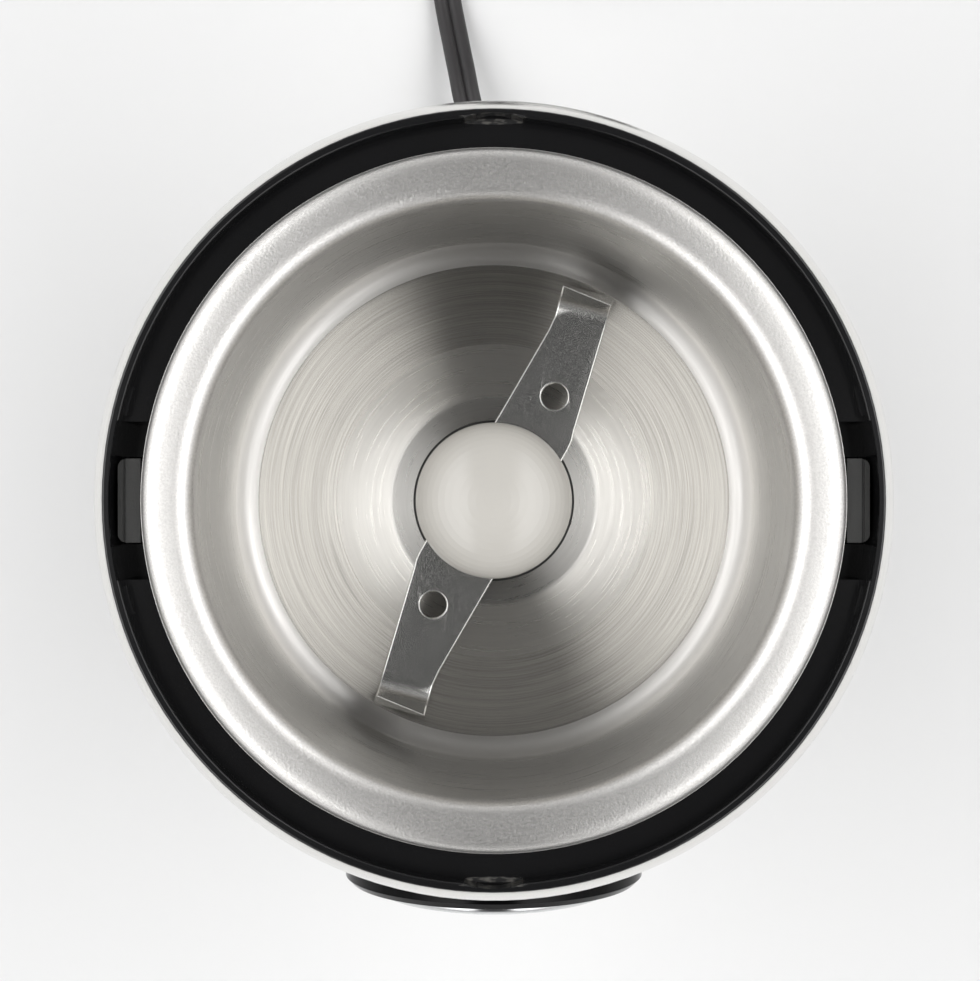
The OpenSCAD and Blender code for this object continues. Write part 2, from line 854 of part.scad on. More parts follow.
module collar_screws() {
    color("silver") at_collar_screws() translate([0, 0, liner_top - flange_t]) {
        translate([0, 0, -collar_head_h]) cylinder(r = collar_head_r, h = collar_head_h);
        cylinder(r = collar_screw_r - run_gap, h = collar_screw_len);
    }
}

// ---- Bowl ----

function bowl_path() =
    let (bead_c = (bowl_lip_r - bead_lip + bowl_r) / 2,
         bead_x = (bowl_lip_r - bead_lip - bowl_r) / 2,
         fillet_c = [bowl_foot_r - bowl_fillet, bowl_floor_z + bowl_fillet])
    concat([[bowl_lip_r, lip_top]],
        [for (a = [0 : 10 : 180])
            [bead_c + bead_x * soft(cos(a), bead_power), lip_top + bead_rise * soft(sin(a), bead_power)]],
        arc(fillet_c, bowl_fillet, bowl_fillet, 0, -90 - cone_slope, 8),
        [[plateau_r, cone_z(plateau_r)], [plateau_r - plateau_step, plateau_top],
         [hub_hole_r, plateau_top]]);

module bowl() {
    color("gainsboro") rotate_extrude() polygon(thicken(bowl_path(), bowl_t));
}

// Flat seal under the lip, with a wedge inside that centres the bead
module bowl_gasket() {
    seal_out = bowl_lip_r - 0.2;
    seal_in = ledge_in + bite;
    flat_in = bowl_lip_r - 1.4;
    color("gray") rotate_extrude() polygon([[seal_in, ledge_z], [seal_out, ledge_z], [seal_out, lip_foot],
        [flat_in, lip_foot], [bowl_lip_r - gasket_wedge, lip_foot + gasket_t],
        [seal_in, lip_foot + gasket_t]]);
}

module shaft_seal() {
    color("darkslategray") translate([0, 0, plateau_top - seal_h]) difference() {
        union() {
            cylinder(r = seal_r, h = seal_h);
            translate([0, 0, seal_h])
                cylinder(r1 = seal_lip_r + seal_lip_h, r2 = seal_lip_r, h = seal_lip_h);
        }
        translate([0, 0, -cut]) cylinder(r = shaft_r + run_gap, h = seal_h + seal_lip_h + 2 * cut);
    }
}

// ---- Motor, fixed parts ----

module stator_core() {
    window_in = pole_r + pole_lip;
    color("slategray") translate([0, 0, core_z]) linear_extrude(core_h) difference() {
        rounded(stator_w, stator_d, core_corner);
        circle(r = pole_r);
        // Windows for the coils, and the gaps between the tips of the poles
        for (s = [0, 1]) mirror([0, s]) {
            translate([-yoke_x, window_in]) square([2 * yoke_x, yoke_y - window_in]);
            translate([-pole_split, pole_r - pole_split_h / 2]) square([2 * pole_split, pole_split_h]);
            for (t = [0, 1]) mirror([t, 0]) translate([coil_x - coil_seat, neck_half - coil_seat])
                square([yoke_x - coil_x + coil_seat, yoke_y - neck_half + coil_seat]);
        }
        for (x = [-1, 1]) for (y = [-1, 1]) translate([x * bolt_x, y * bolt_y])
            circle(r = bolt_r + slip);
    }
}

module field_coils() {
    color("peru") both_sides() translate([coil_x, 0, core_z + core_h / 2]) rotate([90, 0, 90])
        linear_extrude(coil_t) difference() {
            rounded(2 * coil_half, core_h + 2 * winding_over, winding_over - winding_gap);
            rounded(2 * neck_half, core_h + 2 * neck_gap, 1);
        }
}

// Bridge plate on four legs, with a cup for the bearing
module bracket(plate_z, leg_from, leg_to, cup_from, cup_to, bearing_from) {
    difference() {
        union() {
            translate([0, 0, plate_z]) linear_extrude(plate_t) difference() {
                rounded(2 * (bolt_x + leg_r), 2 * (bolt_y + leg_r), leg_r);
                for (x = [-1, 1]) for (y = [-1, 1]) translate([x * window_x, y * window_y])
                    rounded(window_w, window_d, window_r);
            }
            at_bolts() translate([0, 0, leg_from]) cylinder(r = leg_r, h = leg_to - leg_from);
            translate([0, 0, cup_from]) cylinder(r = bearing_r + cup_wall, h = cup_to - cup_from);
        }
        at_bolts() translate([0, 0, min(leg_from, plate_z) - cut])
            cylinder(r = bolt_r + slip, h = leg_to - leg_from + plate_t + 2 * cut);
        translate([0, 0, bearing_from]) cylinder(r = bearing_r + slip, h = cup_to - bearing_from + cut);
        translate([0, 0, cup_from - cut]) cylinder(r = shaft_r + 0.8, h = cup_to - cup_from);
    }
}

module upper_bracket() {
    color("lightsteelblue")
        bracket(upper_plate_z, core_top, upper_plate_z + plate_t,
                upper_bearing_z - cup_floor, upper_bearing_z + bearing_h, upper_bearing_z);
}

module lower_bracket() {
    pedestal_z = lower_plate_z + plate_t - bite;
    color("lightsteelblue") {
        bracket(lower_plate_z, lower_plate_z, core_z,
                lower_bearing_z - cup_foot, lower_bearing_z + bearing_h, lower_bearing_z);
        // Pedestals for the brush holders
        both_sides() translate([pedestal_from, -pedestal_half, pedestal_z])
            cube([pedestal_len, 2 * pedestal_half, brush_z - holder_half - slip - pedestal_z]);
        translate([0, 0, lower_bearing_z - 2 * cup_foot]) cylinder(r = shaft_r + 3, h = cup_foot);
    }
}

module bearing(z) {
    color("goldenrod") translate([0, 0, z]) difference() {
        intersection() {
            cylinder(r = bearing_r, h = bearing_h);
            translate([0, 0, bearing_h / 2]) sphere(r = bearing_r + bearing_crown);
        }
        translate([0, 0, -cut]) cylinder(r = shaft_r + run_gap, h = bearing_h + 2 * cut);
    }
}

module upper_bearing() { bearing(upper_bearing_z); }

module lower_bearing() { bearing(lower_bearing_z); }

module motor_bolts() {
    color("silver") at_bolts() translate([0, 0, lower_plate_z]) {
        translate([0, 0, -bolt_head_h]) cylinder(r = bolt_head_r, h = bolt_head_h);
        translate([0, 0, -bite]) cylinder(r = bolt_r, h = deck_z - lower_plate_z - 2 * bite);
    }
}

module motor_mounts() {
    bore = bolt_r + slip;
    color("dimgray") at_bolts() translate([0, 0, upper_plate_z + plate_t])
        rotate_extrude() polygon([[bore, 0], [mount_r, 0], [mount_r - mount_waist, mount_t / 2],
                                  [mount_r, mount_t], [bore, mount_t]]);
}

module brush_holders() {
    bore_half = brush_half + slip;
    color("goldenrod") both_sides() translate([holder_from, 0, brush_z]) difference() {
        translate([0, -holder_half, -holder_half])
            cube([holder_len, 2 * holder_half, 2 * holder_half]);
        translate([-cut, -bore_half, -bore_half])
            cube([holder_len - holder_wall + cut, 2 * bore_half, 2 * bore_half]);
    }
}

module brushes() {
    color("darkslategray") both_sides()
        translate([brush_in, -brush_half, brush_z - brush_half])
            cube([brush_len, 2 * brush_half, 2 * brush_half]);
}

module brush_springs() {
    from = brush_in + brush_len + run_gap;
    to = holder_from + holder_len - holder_wall - run_gap;
    color("silver") both_sides() translate([from, 0, brush_z]) rotate([0, 90, 0])
        coil_spring(brush_half - 0.6, 0.4, to - from, 5, 12);
}

// ---- Rotor ----

module shaft() {
    straight = shaft_top - shaft_z - shaft_chamfer;
    color("silver") translate([0, 0, shaft_z]) {
        cylinder(r = shaft_r, h = straight);
        translate([0, 0, straight])
            cylinder(r1 = shaft_r, r2 = shaft_r - shaft_chamfer, h = shaft_chamfer);
    }
}

module armature_core() {
    color("slategray") translate([0, 0, core_z]) linear_extrude(core_h) difference() {
        circle(r = armature_r);
        circle(r = shaft_r + press_gap);
        round_axis(slot_n) {
            translate([slot_at, 0]) circle(r = slot_r);
            translate([slot_at, -slot_mouth / 2]) square([armature_r - slot_at + cut, slot_mouth]);
        }
    }
}

// Ring of wire ends on one face of the armature, bevelled away from it
module winding_head() {
    out = armature_r - 1.5;
    rotate_extrude() polygon([[winding_in, 0], [out, 0], [out, winding_over - winding_bevel],
                              [out - winding_bevel, winding_over], [winding_in, winding_over]]);
}

module armature_winding() {
    color("peru") {
        translate([0, 0, core_top]) winding_head();
        translate([0, 0, core_z]) mirror([0, 0, 1]) winding_head();
        round_axis(slot_n) translate([slot_at, 0, core_z - bite])
            cylinder(r = bar_r, h = core_h + 2 * bite);
    }
}

module commutator() {
    color("chocolate") translate([0, 0, commutator_z]) linear_extrude(commutator_h) difference() {
        circle(r = commutator_r);
        circle(r = shaft_r + press_gap);
        round_axis(segment_n) translate([commutator_r - segment_depth, -segment_cut / 2])
            square([segment_depth + cut, segment_cut]);
    }
}

module thrust_washers() {
    color("gray") for (z = [upper_bearing_z, lower_bearing_z])
        translate([0, 0, z + bearing_h + washer_gap])
            tube(shaft_r + washer_w, shaft_r + press_gap, washer_t);
}

module fan() {
    hub = shaft_r + fan_hub_t;
    color("whitesmoke") translate([0, 0, fan_z]) {
        tube(hub, shaft_r + press_gap, fan_h);
        translate([0, 0, fan_h - fan_disc_t]) tube(fan_r, hub - bite, fan_disc_t);
        // Curved blades under the disc
        linear_extrude(fan_h - cut) intersection() {
            difference() {
                circle(r = fan_r);
                circle(r = hub + 3);
            }
            round_axis(fan_blade_n) translate([fan_r / 2 + 3, fan_blade_r - 3]) difference() {
                circle(r = fan_blade_r);
                circle(r = fan_blade_r - fan_blade_t);
                translate([-2 * fan_blade_r, 0]) square([4 * fan_blade_r, 2 * fan_blade_r]);
            }
        }
    }
}

module blade_hub() {
    color("gray") translate([0, 0, hub_z]) difference() {
        union() {
            cylinder(r = hub_r, h = hub_h);
            translate([0, 0, -hub_spigot]) cylinder(r = hub_r - 2, h = hub_spigot + bite);
        }
        translate([0, 0, -hub_spigot - cut])
            cylinder(r = shaft_r + press_gap, h = hub_spigot + hub_h + 2 * cut);
    }
}

// One wing in plan, along +X: straight leading edge, tapering trailing edge
function wing() =
    let (bend_in = [blade_reach, blade_half + lead_edge_rise],
         bend_out = bend_in + [wing_turn, -wing_skew])
    concat([[-slip, blade_half], [blade_reach - wing_notch, blade_half], bend_in, bend_out],
           [[13.5, 0.5 - blade_half], [12.3, 0.13 - blade_half], [11, -blade_half],
            [-slip, -blade_half]]);

// A point of the turned-up tip, out from the bend's centre and up along the tip
function tip_at(out, up) =
    [out * sin(tip_bend) + up * cos(tip_bend),
     bend_r + blade_t - out * cos(tip_bend) + up * sin(tip_bend)];

// The turned-up tip, seen along its bend, with its back ground to an edge
function tip_outline() =
    let (outer = bend_r + blade_t)
    concat(arc([0, outer], outer, outer, -90, tip_bend - 90, 6),
           [tip_at(outer, tip_len - tip_grind), tip_at(bend_r + tip_edge, tip_len),
            tip_at(bend_r, tip_len)],
           arc([0, outer], bend_r, bend_r, tip_bend - 90, -90, 6));

module half_blade() {
    bend_in = wing()[2];
    bend_out = wing()[3];
    lean = atan2(bend_out[1] - bend_in[1], bend_out[0] - bend_in[0]);
    tip_w = norm(bend_out - bend_in);
    tip_end = tip_at(bend_r, tip_len);
    linear_extrude(blade_t) difference() {
        polygon(wing());
        translate([hole_at, 0]) circle(d = blade_hole_d);
    }
    translate([bend_in[0], bend_in[1], 0]) rotate([0, 0, lean + 90])
        translate([-press_gap, 0, 0]) difference() {
            rotate([90, 0, 0]) linear_extrude(tip_w) polygon(tip_outline());
            // The tip gets shorter towards the trailing side
            translate([tip_end[0], 0, tip_end[1]]) rotate([0, -tip_bend, 0]) rotate([0, 0, -tip_slant])
                translate([cut, -2 * tip_w, -tip_w]) cube([tip_w, 3 * tip_w, 2 * tip_w]);
        }
}

module blade() {
    color("darkgray") translate([0, 0, blade_z]) rotate([0, 0, blade_angle]) difference() {
        union() {
            half_blade();
            rotate([0, 0, 180]) half_blade();
            cylinder(r = hub_r - bite, h = blade_t);
        }
        translate([0, 0, -cut]) cylinder(r = shaft_r + press_gap, h = blade_t + 2 * cut);
    }
}

module blade_cap() {
    color("ivory") translate([0, 0, cap_z]) difference() {
        rotate_extrude() polygon(concat([[0, 0], [cap_r - cap_edge, 0], [cap_r, cap_edge]],
                                        arc([0, cap_band], cap_r, cap_dome, 0, 90, 14)));
        translate([0, 0, -cut])
            cylinder(r = shaft_r + press_gap, h = shaft_top - cap_z + 2 * slip + cut);
    }
}

// ---- Button ----

module bezel() {
    neck_len = bezel_front - bezel_back;
    rim_len = neck_len - bezel_catch - bezel_chamfer;
    color("black") difference() {
        facing_front() translate([0, 0, bezel_back]) difference() {
            union() {
                cylinder(r = bezel_neck_r, h = neck_len);
                translate([0, 0, bezel_catch]) cylinder(r = bezel_r, h = rim_len);
                translate([0, 0, neck_len - bezel_chamfer])
                    cylinder(r1 = bezel_r, r2 = bezel_r - bezel_chamfer, h = bezel_chamfer);
            }
            translate([0, 0, -cut]) cylinder(r = button_r + move_gap, h = neck_len + 2 * cut);
            translate([0, 0, -cut])
                cylinder(r = bezel_neck_r - bezel_wall, h = bezel_step - bezel_back + cut);
        }
        // The ring's flange follows the round shell
        difference() {
            translate([0, 0, button_z - bezel_r - cut])
                cylinder(r = shell_r + bezel_seat, h = 2 * (bezel_r + cut));
            facing_front() cylinder(r = bezel_neck_r, h = shell_r + 2 * cut);
        }
    }
}

// Half outline of a shallow dome
function dome(r, edge, rise, steps) =
    let (ball = (r * r + rise * rise) / (2 * rise), half = asin(r / ball))
    [for (i = [0 : steps]) let (a = half * i / steps) [ball * sin(a), edge + rise - ball * (1 - cos(a))]];

module button_cap() {
    dome_r = button_r - button_edge_r;
    inner_r = button_r - button_wall;
    outer = concat(dome(dome_r, button_edge, button_crown, 12),
        arc([dome_r, button_edge - button_edge_r], button_edge_r, button_edge_r, 75, 0, 5),
        [[button_r, carrier_front], [inner_r, carrier_front],
         [inner_r, button_edge - button_wall - slip]]);
    inner = dome(dome_r - cut, button_edge - button_wall, button_crown, 12);
    color("silver") facing_front() rotate_extrude()
        polygon(concat(outer, [for (i = [len(inner) - 1 : -1 : 0]) inner[i]]));
}

module button_carrier() {
    rim_out = button_r - button_wall - slip;
    rib_half = rim_out - carrier_rim_t - cut;
    color("black") facing_front() {
        translate([0, 0, carrier_back]) cylinder(r = carrier_r, h = carrier_t);
        translate([0, 0, carrier_front]) tube(rim_out, rim_out - carrier_rim_t, carrier_rim_h);
        translate([0, spring_up, carrier_back - spring_cup_h])
            tube(spring_r + 1 + spring_cup_t, spring_r + 1, spring_cup_h + bite);
        translate([0, -plunger_drop, rod_tip])
            cylinder(r = push_rod_r, h = carrier_back - rod_tip + bite);
        // Cross ribs that stiffen the plate under the cap
        for (a = [45, 135]) rotate([0, 0, a])
            translate([-rib_half, -carrier_rib_t / 2, carrier_front - bite])
                cube([2 * rib_half, carrier_rib_t, carrier_rim_h]);
    }
}

module button_spring() {
    from = upright_front + run_gap;
    color("silver") facing_front() translate([0, spring_up, from])
        coil_spring(spring_r, spring_wire, carrier_back - run_gap - from, 4, 16, 8);
}

module push_switch() {
    color("darkslategray") difference() {
        union() {
            translate([-switch_half, -switch_front, switch_low])
                cube([2 * switch_half, switch_len, deck_z - switch_low]);
            translate([-switch_half - switch_ear, -switch_front + 2, deck_z - switch_ear_t])
                cube([2 * (switch_half + switch_ear), switch_len - 4, switch_ear_t]);
            for (s = [-1, 1]) translate([s * terminal_x - terminal_t / 2,
                                         -switch_back - terminal_w - cut, switch_low - terminal_w + bite])
                cube([terminal_t, terminal_w, terminal_w]);
        }
        facing_front() translate([0, -plunger_drop, switch_front - plunger_in - 5])
            cylinder(r = plunger_r + run_gap, h = plunger_in + 5 + cut);
    }
}

module switch_plunger() {
    color("firebrick") facing_front() translate([0, -plunger_drop, switch_front - plunger_in])
        cylinder(r = plunger_r, h = rod_tip - slip - switch_front + plunger_in);
}

// ---- Interlocks ----

module interlock_switches() {
    hole_h = stem_in + interlock_travel + 2.5;
    color("midnightblue") both_sides() difference() {
        translate([contact_in, -contact_half, deck_top])
            cube([contact_out - contact_in, 2 * contact_half, contact_h]);
        translate([stem_at, 0, contact_top - hole_h]) cylinder(r = stem_r + 0.3, h = hole_h + cut);
    }
}

module interlock_tab() {
    color("gray") {
        difference() {
            // Upright tongue with round outer corners
            translate([tab_in, 0, tab_foot_z + bite]) linear_extrude(tab_top - tab_foot_z - bite)
                intersection() {
                    rounded(2 * tab_w, 2 * tab_half, tab_corner);
                    translate([0, -tab_half]) square([tab_w, 2 * tab_half]);
                }
            // Groove between two ridges along the outer edge
            translate([tab_out - tab_groove_in - tab_groove_w, -tab_half - cut, tab_top - tab_groove_h])
                cube([tab_groove_w, 2 * (tab_half + cut), tab_groove_h + cut]);
        }
        translate([tab_in - tab_foot_in, -tab_half - tab_foot_over, tab_foot_z])
            cube([tab_w + tab_foot_in - tab_foot_side, 2 * (tab_half + tab_foot_over), tab_foot_t]);
        translate([stem_at, 0, contact_top - stem_in])
            cylinder(r = stem_r, h = tab_foot_z - contact_top + stem_in + bite);
    }
}

module interlock_tab_right() { interlock_tab(); }

module interlock_tab_left() { mirror([1, 0, 0]) interlock_tab(); }

module interlock_spring() {
    color("silver") translate([stem_at, 0, contact_top + run_gap])
        coil_spring(interlock_spring_r, interlock_wire, tab_foot_z - contact_top - 2 * run_gap,
                    interlock_turns, 12);
}

module interlock_spring_right() { interlock_spring(); }

module interlock_spring_left() { mirror([1, 0, 0]) interlock_spring(); }

// ---- Electrical parts ----

module capacitor() {
    color("goldenrod") translate([capacitor_gap - liner_in, -capacitor_w / 2, capacitor_z])
        cube([capacitor_t, capacitor_w, capacitor_h]);
}

module thermal_fuse() {
    color("whitesmoke") translate([yoke_x + fuse_gap, -fuse_len / 2, core_top + fuse_gap])
        facing_back() cylinder(r = fuse_r, h = fuse_len);
}

module internal_leads() {
    flat_from = clamp_y - 2.5;
    start_a = 64;
    end_a = -62;
    rise = (lead_high_z - lead_low_z) / (start_a - end_a);
    color("gray") {
        // Flat end of the cord under its clamp
        translate([-cord_w / 2, flat_from, cord_z - cord_t / 2])
            cube([cord_w, boot_in - flat_from, cord_t]);
        both_sides()
            sweep(concat([[1.4, flat_from + bite, cord_z, 0], [3, flat_from - 3, cord_z + 2, 0],
                          [9, flat_from, cord_z + 5, 0]],
                [for (a = [start_a : -14 : end_a])
                    [lead_at * cos(a), lead_at * sin(a), lead_low_z + rise * (start_a - a), 0]],
                [[12, 7.4 - liner_in, switch_low - 6.5, 0],
                 [terminal_x, -switch_back - 3, switch_low - 4.2, 0]]), lead_wire, lead_wire, 6);
    }
}

module cord_clamp() {
    low = cord_z - cord_t / 2;
    color("black") difference() {
        translate([-clamp_half, clamp_y, low]) cube([2 * clamp_half, clamp_len, cord_t + clamp_over]);
        translate([-cord_w / 2 - slip, clamp_y - cut, low - cut])
            cube([cord_w + 2 * slip, clamp_len + 2 * cut, cord_t + cut]);
        at_clamp_screws() translate([0, 0, low - cut])
            cylinder(r = shank_r + 0.2, h = cord_t + clamp_over + 2 * cut);
    }
}

module clamp_screws() {
    foot = base_floor_z + bite;
    head = cord_z + cord_t / 2 + clamp_over;
    color("silver") at_clamp_screws() {
        translate([0, 0, foot]) cylinder(r = shank_r - run_gap, h = head - foot);
        translate([0, 0, head]) cylinder(r = clamp_head_r, h = clamp_head_h);
    }
}

// ---- Cord ----

module strain_relief() {
    neck_h = boot_start - base_in;
    color("black") translate([0, 0, cord_z]) difference() {
        union() {
            translate([0, boot_in, 0]) facing_back() {
                cylinder(r = boot_neck_r + boot_catch, h = boot_catch_h);
                cylinder(r = boot_neck_r, h = boot_catch_h + bite + neck_h + slip);
            }
            translate([0, boot_start, 0]) {
                facing_back() cylinder(r = boot_neck_r + boot_lip, h = boot_lip_h);
                rotate([0, 0, boot_turn]) facing_back() translate([0, 0, boot_seat])
                    cylinder(r1 = boot_neck_r, r2 = cord_w / 2 + boot_tip_t, h = boot_len - boot_seat);
            }
        }
        // Grooves that let the boot bend
        translate([0, boot_start, 0]) rotate([0, 0, boot_turn]) facing_back()
            for (i = [1 : groove_n]) translate([0, 0, groove_pitch * i + cut]) difference() {
                cylinder(r = 2 * boot_neck_r, h = groove_w);
                translate([0, 0, -cut]) cylinder(r = cord_w / 2 + groove_floor, h = groove_w + 2 * cut);
                translate([-groove_bridge / 2, -2 * boot_neck_r, -cut])
                    cube([groove_bridge, 4 * boot_neck_r, groove_w + 2 * cut]);
            }
    }
}

module cord() {
    color("dimgray") {
        sweep(lead_route, cord_w, cord_t, 10);
        sweep(tail_route, cord_w, cord_t, 10);
    }
}

module cord_coil() {
    color("dimgray") translate([coil_pos[0], coil_pos[1], coil_z]) tube(coil_out, coil_in, coil_h);
}

module cord_tie() {
    color("black") translate([coil_pos[0], coil_pos[1], 0]) rotate([0, 0, tie_at]) difference() {
        translate([coil_in - tie_t, -tie_w / 2, 0])
            cube([coil_out - coil_in + 2 * tie_t, tie_w, coil_h + coil_z + tie_t]);
        translate([0, 0, coil_z]) tube(coil_out + run_gap, coil_in - run_gap, coil_h + run_gap);
    }
}

module plug() {
    color("black") translate(plug_at) facing_back() {
        cylinder(r1 = cord_w / 2 + boot_tip_t, r2 = plug_neck_r, h = plug_neck);
        translate([0, 0, plug_neck]) linear_extrude(plug_len) rounded(plug_w, plug_t, plug_corner);
    }
}

module plug_pins() {
    color("gold") translate(plug_at) for (s = [-1, 1])
        translate([s * pin_pitch / 2 - pin_t / 2, plug_neck + plug_len, -pin_w / 2]) difference() {
            cube([pin_t, pin_len, pin_w]);
            translate([-cut, pin_len - pin_hole_at, pin_w / 2]) rotate([0, 90, 0])
                cylinder(r = pin_hole_r, h = pin_t + 2 * cut);
        }
}

foot_ring();
base_cover();
base_screws();
body_shell();
inner_housing();
collar();
collar_screws();
bowl();
bowl_gasket();
shaft_seal();
stator_core();
field_coils();
upper_bracket();
lower_bracket();
upper_bearing();
lower_bearing();
motor_bolts();
motor_mounts();
brush_holders();
brushes();
brush_springs();
push_switch();
interlock_switches();
capacitor();
thermal_fuse();
internal_leads();
cord_clamp();
clamp_screws();
bezel();
strain_relief();
cord();
cord_coil();
cord_tie();
plug();
plug_pins();
shaft();
armature_core();
armature_winding();
commutator();
thrust_washers();
fan();
blade_hub();
blade();
blade_cap();
button_cap();
button_carrier();
button_spring();
switch_plunger();
interlock_tab_right();
interlock_tab_left();
interlock_spring_right();
interlock_spring_left();
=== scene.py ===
# %% [markdown]
# # Electric spice grinder
# A blade grinder with its lid off: a steel shell, a black collar, a fixed steel bowl with a two-winged
# blade under a cream cap, a push button at the front and a flat cord at the back.
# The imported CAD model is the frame. It already has every solid in its place, so each lesson step
# either gives a solid its real finish, or makes a finer mesh that stands for it.

# %% Load the frame
import math

import bmesh
import bpy
from mathutils import Matrix, Vector


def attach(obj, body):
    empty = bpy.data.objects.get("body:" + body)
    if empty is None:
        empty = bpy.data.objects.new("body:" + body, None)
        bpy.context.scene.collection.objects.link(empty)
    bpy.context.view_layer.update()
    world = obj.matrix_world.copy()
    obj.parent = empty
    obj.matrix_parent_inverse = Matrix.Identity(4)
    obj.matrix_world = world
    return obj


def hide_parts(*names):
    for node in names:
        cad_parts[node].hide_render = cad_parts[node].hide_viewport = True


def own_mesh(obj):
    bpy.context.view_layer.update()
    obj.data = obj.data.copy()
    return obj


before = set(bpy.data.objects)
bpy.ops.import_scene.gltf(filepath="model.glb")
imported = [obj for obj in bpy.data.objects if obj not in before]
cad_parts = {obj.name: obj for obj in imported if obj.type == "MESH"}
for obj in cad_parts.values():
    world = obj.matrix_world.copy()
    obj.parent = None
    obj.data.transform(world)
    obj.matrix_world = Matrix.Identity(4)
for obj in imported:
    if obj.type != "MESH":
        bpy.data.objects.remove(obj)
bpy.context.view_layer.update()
MM = 0.001
MERGE_MM = 0.002
scene = bpy.context.scene
scene.view_settings.view_transform = "Standard"

# %% [markdown]
# ## Camera
# The grinder is looked at from straight above, close enough that the near rim looks larger than the base.
# A camera could be aimed with a constraint, but from straight above it needs no turn at all: an unturned
# camera looks down. The lens follows from how many pixels one radian covers, and the small shift puts
# the blade's axis a little right of and below the middle.

# %% Camera above the bowl
SENSOR = 36
PICTURE_H = 981
FOCAL_PX = 1759.5
CAMERA_HEIGHT = 340
AXIS_RIGHT_PX = 3.8
AXIS_DOWN_PX = 10.1

camera = bpy.data.objects.new("camera", bpy.data.cameras.new("camera"))
scene.collection.objects.link(camera)
camera.data.sensor_width = SENSOR
camera.data.lens = SENSOR * FOCAL_PX / PICTURE_H
camera.data.shift_x = -AXIS_RIGHT_PX / PICTURE_H
camera.data.shift_y = AXIS_DOWN_PX / PICTURE_H
camera.data.clip_start = 0.01
camera.location = (0, 0, CAMERA_HEIGHT * MM)
scene.camera = camera
print("lens", round(camera.data.lens, 1), "mm")

# %% [markdown]
# ## Small helpers
# Three helpers serve the whole lesson: one makes an object from a bmesh and lets it ride on its body,
# one gives the points of an arc, and one turns an outline round an axis. A round part could be cut from a
# cylinder, but spin is the better operator for anything pressed, turned or moulded round, because
# its section can be any line.

# %% Helpers for shapes
def finish_piece(name, mesh, body, replaced=(), smooth=30):
    """Makes a bmesh an object at the origin that rides on a body, with edges above an angle kept sharp."""
    data = bpy.data.meshes.new(name)
    mesh.to_mesh(data)
    mesh.free()
    data.shade_smooth()
    data.set_sharp_from_angle(angle=math.radians(smooth))
    piece = bpy.data.objects.new(name, data)
    scene.collection.objects.link(piece)
    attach(piece, body)
    if replaced:
        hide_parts(*replaced)
    print(name, len(data.polygons), "faces")
    return piece


def arc(centre, rx, ry, start, end, steps):
    """Points of an arc from one angle to another, in degrees."""
    angles = [math.radians(start + (end - start) * i / steps) for i in range(steps + 1)]
    return [(centre[0] + rx * math.cos(a), centre[1] + ry * math.sin(a)) for a in angles]


def spin_outline(points, steps):
    """Turns (radius, height) points in millimetres round the Z axis into a bmesh."""
    mesh = bmesh.new()
    line = [mesh.verts.new((r * MM, 0, z * MM)) for r, z in points]
    edges = [mesh.edges.new(pair) for pair in zip(line, line[1:])]
    bmesh.ops.spin(mesh, geom=line + edges, cent=(0, 0, 0), axis=(0, 0, 1), angle=math.tau,
                   steps=steps, use_merge=True)
    bmesh.ops.remove_doubles(mesh, verts=mesh.verts, dist=MERGE_MM * MM)
    bmesh.ops.recalc_face_normals(mesh, faces=mesh.faces)
    return mesh


# %% [markdown]
# ## Cord
# The lead is a flat twin flex: two round cores side by side in one grey PVC sheath, with a groove
# between them. It leaves the boot at the back, drops to the table, and the rest is wound on edge into
# a neat coil with the plug beside it. A tube along a curve would be round, so a curve carries the flex's
# own outline as its bevel, and each point's tilt turns the flat lead from lying flat to standing on edge.

# %% Route of the cord
CORD_W = 5.2
CORD_T = 2.8
# Points of the lead and of the tail: x, y, height, and the turn of the flat flex in degrees.
LEAD = [(-4.2, 72.3, 8.5, 0), (-5.2, 76.4, 8.4, 0), (-6, 80.8, 6.9, 0), (-6.8, 85, 5.2, 0),
        (-7.6, 89.2, 3.5, 0), (-8.4, 93.4, 2.2, 0), (-9.2, 98, 1.6, 0), (-10, 102.5, 1.5, 5),
        (-10.8, 107, 1.9, 20), (-11.6, 111.5, 2.3, 40), (-12.4, 116, 2.6, 60), (-13.3, 120.5, 3, 80),
        (-14.2, 125, 3.2, 90)]
TAIL = [(39.3, 130.3, 3.4, 90), (32.1, 121.9, 3.9, 90), (22.9, 117.6, 4.5, 85),
        (13.2, 118.1, 5.2, 70), (5.3, 123.3, 5.9, 45), (1.3, 131.5, 6.7, 20), (0.5, 140, 7.3, 5),
        (0.9, 148, 7.5, 0), (1.5, 156, 7.6, 0), (2.1, 164, 7.4, 0), (2.8, 172, 6.7, 0),
        (3, 176, 6.4, 0), (3, 179.9, 6.4, 0)]
COIL_AT = (18, 136)
COIL_R = 34
COIL_PITCH = 3
COIL_TURNS = 3.5
COIL_START = 190.7
COIL_Z = 3.2
COIL_STEPS = 70
COIL_ON_EDGE = 90
CORE_STEPS = 14
CURVE_STEPS = 6


def coil_point(i):
    """A point of the coil, wound inwards and clockwise, on edge."""
    turn = COIL_TURNS * i / COIL_STEPS
    a = math.radians(COIL_START - 360 * turn)
    r = COIL_R - COIL_PITCH * turn
    return (COIL_AT[0] + r * math.cos(a), COIL_AT[1] + r * math.sin(a), COIL_Z, COIL_ON_EDGE)


route = LEAD + [coil_point(i) for i in range(COIL_STEPS + 1)] + TAIL
print("route points", len(route))

# %% Flex outline swept along the route
core_at = (CORD_W - CORD_T) / 2
groove = math.degrees(math.acos(core_at / (CORD_T / 2)))
core_right = arc((core_at, 0), CORD_T / 2, CORD_T / 2, groove - 180, 180 - groove, CORE_STEPS)
outline = core_right + [(-x, -y) for x, y in core_right]

